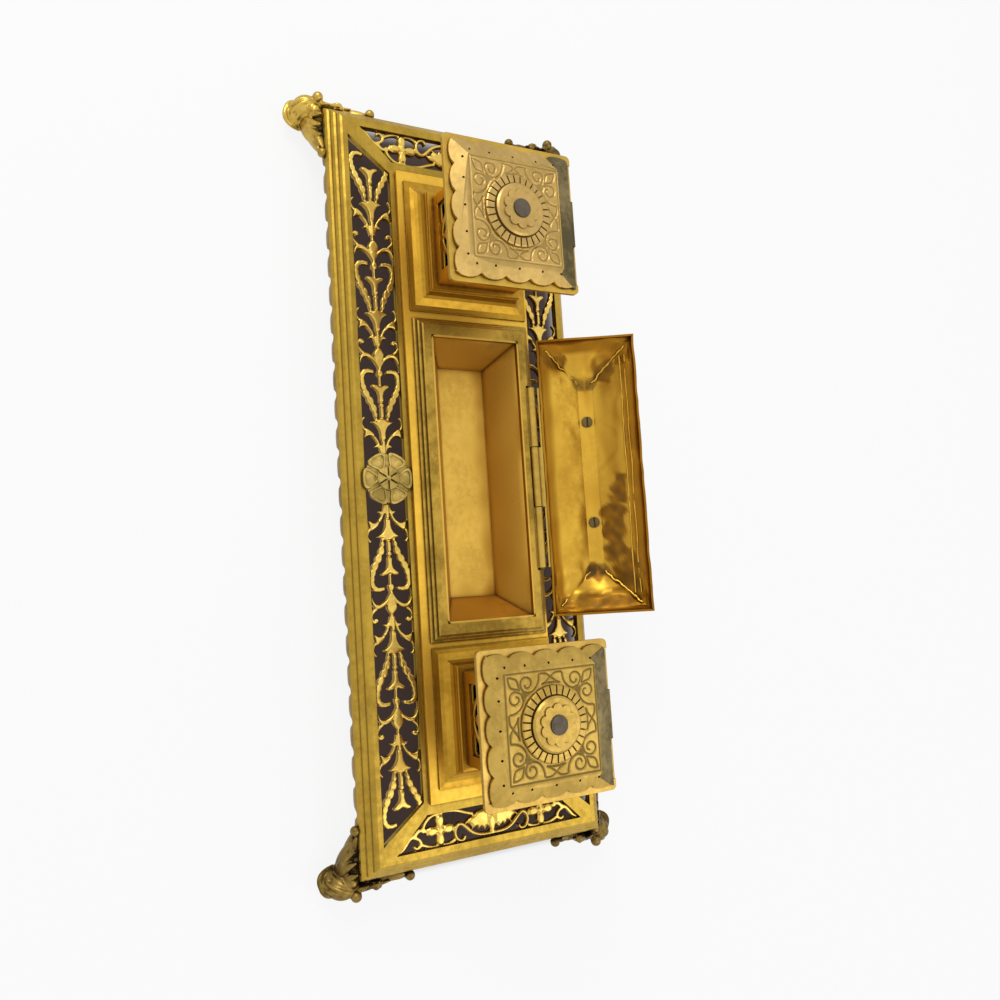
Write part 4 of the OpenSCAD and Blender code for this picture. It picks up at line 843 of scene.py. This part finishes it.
# painted shade: the right lid's punched dots are near black, while the left lid's stay brass
dot_metal = {
    "left": brass("left dot brass", (0.36, 0.25, 0.10), (0.20, 0.13, 0.05), toning=0.6, side_shade=0.0, shine=0.3),
    "right": brass("right dot shade", (0.07, 0.045, 0.02), (0.04, 0.026, 0.012), toning=1.0, side_shade=0.0,
                   shine=0.4)}
dark_hinge = brass("dark hinge brass", (0.22, 0.16, 0.06), (0.09, 0.065, 0.025), (0.012, 0.012, 0.008),
                   toning=0.9, reach=1.5, side_shade=0.2)
for side in ("left", "right"):
    low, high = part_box(side + "_lid")
    middle = Vector(((low.x + high.x) / 2 / mm, high.y / mm - lid_half, 0))
    shape = merged_shape(side + "_lid")
    bmesh.ops.dissolve_limit(shape, angle_limit=math.radians(0.5), verts=shape.verts, edges=shape.edges)
    body = new_piece(side + "_lid_engraved", shape)
    punches = bmesh.new()
    for turn in (0, 90, -90):
        swing = Matrix.Rotation(math.radians(turn), 3, "Z")
        for place in dot_places:
            spot = middle + swing @ Vector((place, 4.7 - lid_half, 0)) + Vector((0, 0, lid_top - 1.05))
            bmesh.ops.create_cone(punches, cap_ends=True, segments=10, radius1=0.05 * mm, radius2=0.72 * mm,
                                  depth=1.7 * mm, matrix=Matrix.Translation(spot * mm))
    punch = new_piece(side + "_punch", punches)
    cut = body.modifiers.new("dots", "BOOLEAN")
    cut.operation = "DIFFERENCE"
    cut.solver = "EXACT"
    cut.object = punch
    fix_modifiers(body)
    bpy.data.objects.remove(punch)
    shape = bmesh.new()
    shape.from_mesh(body.data)
    top = flat_square(shape)
    if len(top.verts) > 4:
        straight = [vert for vert in top.verts if len(vert.link_edges) == 2]
        bmesh.ops.dissolve_verts(shape, verts=straight)
        top = flat_square(shape)
    bmesh.ops.subdivide_edges(shape, edges=top.edges[:], cuts=int(2 * square_half / net_pitch),
                              use_grid_fill=True)
    for face in shape.faces:
        spot = face.calc_center_median() / mm - middle
        across, down = (spot.x, -spot.y) if abs(spot.y) > abs(spot.x) else (spot.y, abs(spot.x))
        # painted shade: the border slope at the back of the lid takes the dark olive brass, standing in for
        # the dark it reflects
        if spot.y > square_half - 0.1:
            face.material_index = 1
        elif abs(down - lid_half + 4.7) < 0.8 and min(abs(across - place) for place in dot_places) < 0.8 \
                and len(face.verts) < 6 and face.calc_area() < 0.8 * mm * mm:
            face.material_index = 2
    stain, dirt = [], []
    for vert in shape.verts:
        x, y = vert.co.x / mm - middle.x, vert.co.y / mm - middle.y
        deep = 0.0
        if vert.co.z > (lid_top - 0.02) * mm:
            deep = graver.get((round(x / net_pitch), round(y / net_pitch)), 0.0)
            vert.co.z -= cut_depth[side] * mm * min(1.0, 1.6 * deep)
        stain.append(0.8 * deep)
        dirt.append(cut_dirt_and_shade[side] * deep)
    shape.to_mesh(body.data)
    shape.free()
    set_marks(body.data, stain, dirt)
    stand_in_for(body, side + "_lid", lid_metal[side], rear_slope_shade, dot_metal[side])
    body.data.shade_smooth()
    body.data.set_sharp_from_angle(angle=math.radians(14))
    finish_node(side + "_lid_boss", boss_metal[side])
    finish_node(side + "_well_top_plate", plate_metal[side])
    for part in ("_lid_hinge_leaf", "_hinge_pin"):
        finish_node(side + part, dark_hinge)
    finish_node(side + "_hinge_leaf", plate_metal[side])

# ---- Lid studs ----
# A flat disc of darker metal is set in the middle of each boss, dull and mauve with age.
stud_metal = brass("stud metal", (0.14, 0.115, 0.085), (0.09, 0.07, 0.05), (0.03, 0.024, 0.02), shine=0.42,
                   toning=0.8, side_shade=0.2)
for side in ("left", "right"):
    finish_node(side + "_lid_stud", stud_metal)

# ---- Floor, light and camera ----
# A plain pale floor in soft light from a window side, and the camera high over the front.
# The floor under the stand, seen through the frets, is painted dark as its shadow, and glows less there.


# 1 for rays from the camera, off a polished face or through glass, and 0 for the rest.
def seen_rays(nodes, links):
    path = nodes.new("ShaderNodeLightPath")
    seen = add_math(nodes, links, "ADD", path.outputs["Is Camera Ray"], path.outputs["Is Glossy Ray"])
    return add_math(nodes, links, "ADD", seen, path.outputs["Is Transmission Ray"], clamp=True)


bpy.ops.mesh.primitive_plane_add(size=6.0, location=(0, 0, 0))
floor = bpy.context.object
floor.name = "floor"
floor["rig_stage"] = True
# painted shadow: a soft-edged dark patch on the floor under the stand
shadow_end, shadow_front, shadow_back = 165 * mm, -50 * mm, 70 * mm
pale_paint, painted_shadow = (0.9, 0.9, 0.9), (0.09, 0.06, 0.052)
floor_paint = bpy.data.materials.new("floor paint")
floor_paint.use_nodes = True
nodes, links = floor_paint.node_tree.nodes, floor_paint.node_tree.links
paint = nodes["Principled BSDF"]
paint.inputs["Roughness"].default_value = 0.9
spot = nodes.new("ShaderNodeTexCoord").outputs["Object"]
axes = nodes.new("ShaderNodeSeparateXYZ")
links.new(spot, axes.inputs[0])
from_middle = add_math(nodes, links, "ABSOLUTE", axes.outputs["X"])
across = add_range(nodes, links, from_middle, shadow_end - 10 * mm, shadow_end, 1.0, 0.0)
before = add_range(nodes, links, axes.outputs["Y"], shadow_front, shadow_front + 8 * mm)
behind = add_range(nodes, links, axes.outputs["Y"], shadow_back - 12 * mm, shadow_back, 1.0, 0.0)
under = add_math(nodes, links, "MULTIPLY", add_math(nodes, links, "MULTIPLY", across, before), behind)
floor_colour = add_mix(nodes, links, under, pale_paint, painted_shadow)
links.new(floor_colour, paint.inputs["Base Color"])
glow = nodes.new("ShaderNodeEmission")
links.new(floor_colour, glow.inputs["Color"])
# painted shadow: the floor's glow for seen rays is weaker under the stand
shown = add_math(nodes, links, "MULTIPLY", seen_rays(nodes, links),
                 add_math(nodes, links, "MULTIPLY_ADD", under, -0.55, 0.85))
mixed = nodes.new("ShaderNodeMixShader")
links.new(shown, mixed.inputs[0])
links.new(paint.outputs[0], mixed.inputs[1])
links.new(glow.outputs[0], mixed.inputs[2])
glow.inputs["Strength"].default_value = 1.12
links.new(mixed.outputs[0], nodes["Material Output"].inputs["Surface"])
floor.data.materials.append(floor_paint)

world = bpy.data.worlds.new("studio")
bpy.context.scene.world = world
world.use_nodes = True
nodes, links = world.node_tree.nodes, world.node_tree.links
sky = nodes["Background"]
sky.inputs["Color"].default_value = (1, 1, 1, 1)
strength = add_math(nodes, links, "MULTIPLY_ADD", seen_rays(nodes, links), 0.5, 0.5)
links.new(strength, sky.inputs["Strength"])


def soft_lamp(name, place, aim, size, power):
    data = bpy.data.lights.new(name, "AREA")
    data.size = size
    data.energy = power
    lamp = bpy.data.objects.new(name, data)
    bpy.context.collection.objects.link(lamp)
    lamp.location = place
    lamp.rotation_euler = (Vector(aim) - Vector(place)).to_track_quat("-Z", "Y").to_euler()
    return lamp


soft_lamp("window", (-0.8, -0.35, 0.75), (0, 0, 0.03), 0.5, 4.0)
soft_lamp("fill", (0.6, 0.5, 1.0), (0, 0, 0.03), 0.7, 2.0)

eye = Vector((0.0413, -0.1688, 0.3349))
target = Vector((0.01465, -0.01712, 0.03))
roll = math.radians(77.75)
camera_data = bpy.data.cameras.new("camera")
camera_data.sensor_width = 36.0
camera_data.lens = 30.28
camera_data.shift_x = 0.0557
camera_data.shift_y = 0.0127
camera_data.clip_start = 0.01
camera = bpy.data.objects.new("camera", camera_data)
bpy.context.collection.objects.link(camera)
camera.location = eye
turn = (target - eye).to_track_quat("-Z", "Y").to_matrix().to_4x4() @ Matrix.Rotation(roll, 4, "Z")
camera.rotation_euler = turn.to_euler()
bpy.context.scene.camera = camera
bpy.context.scene.view_settings.view_transform = "Standard"

low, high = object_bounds()
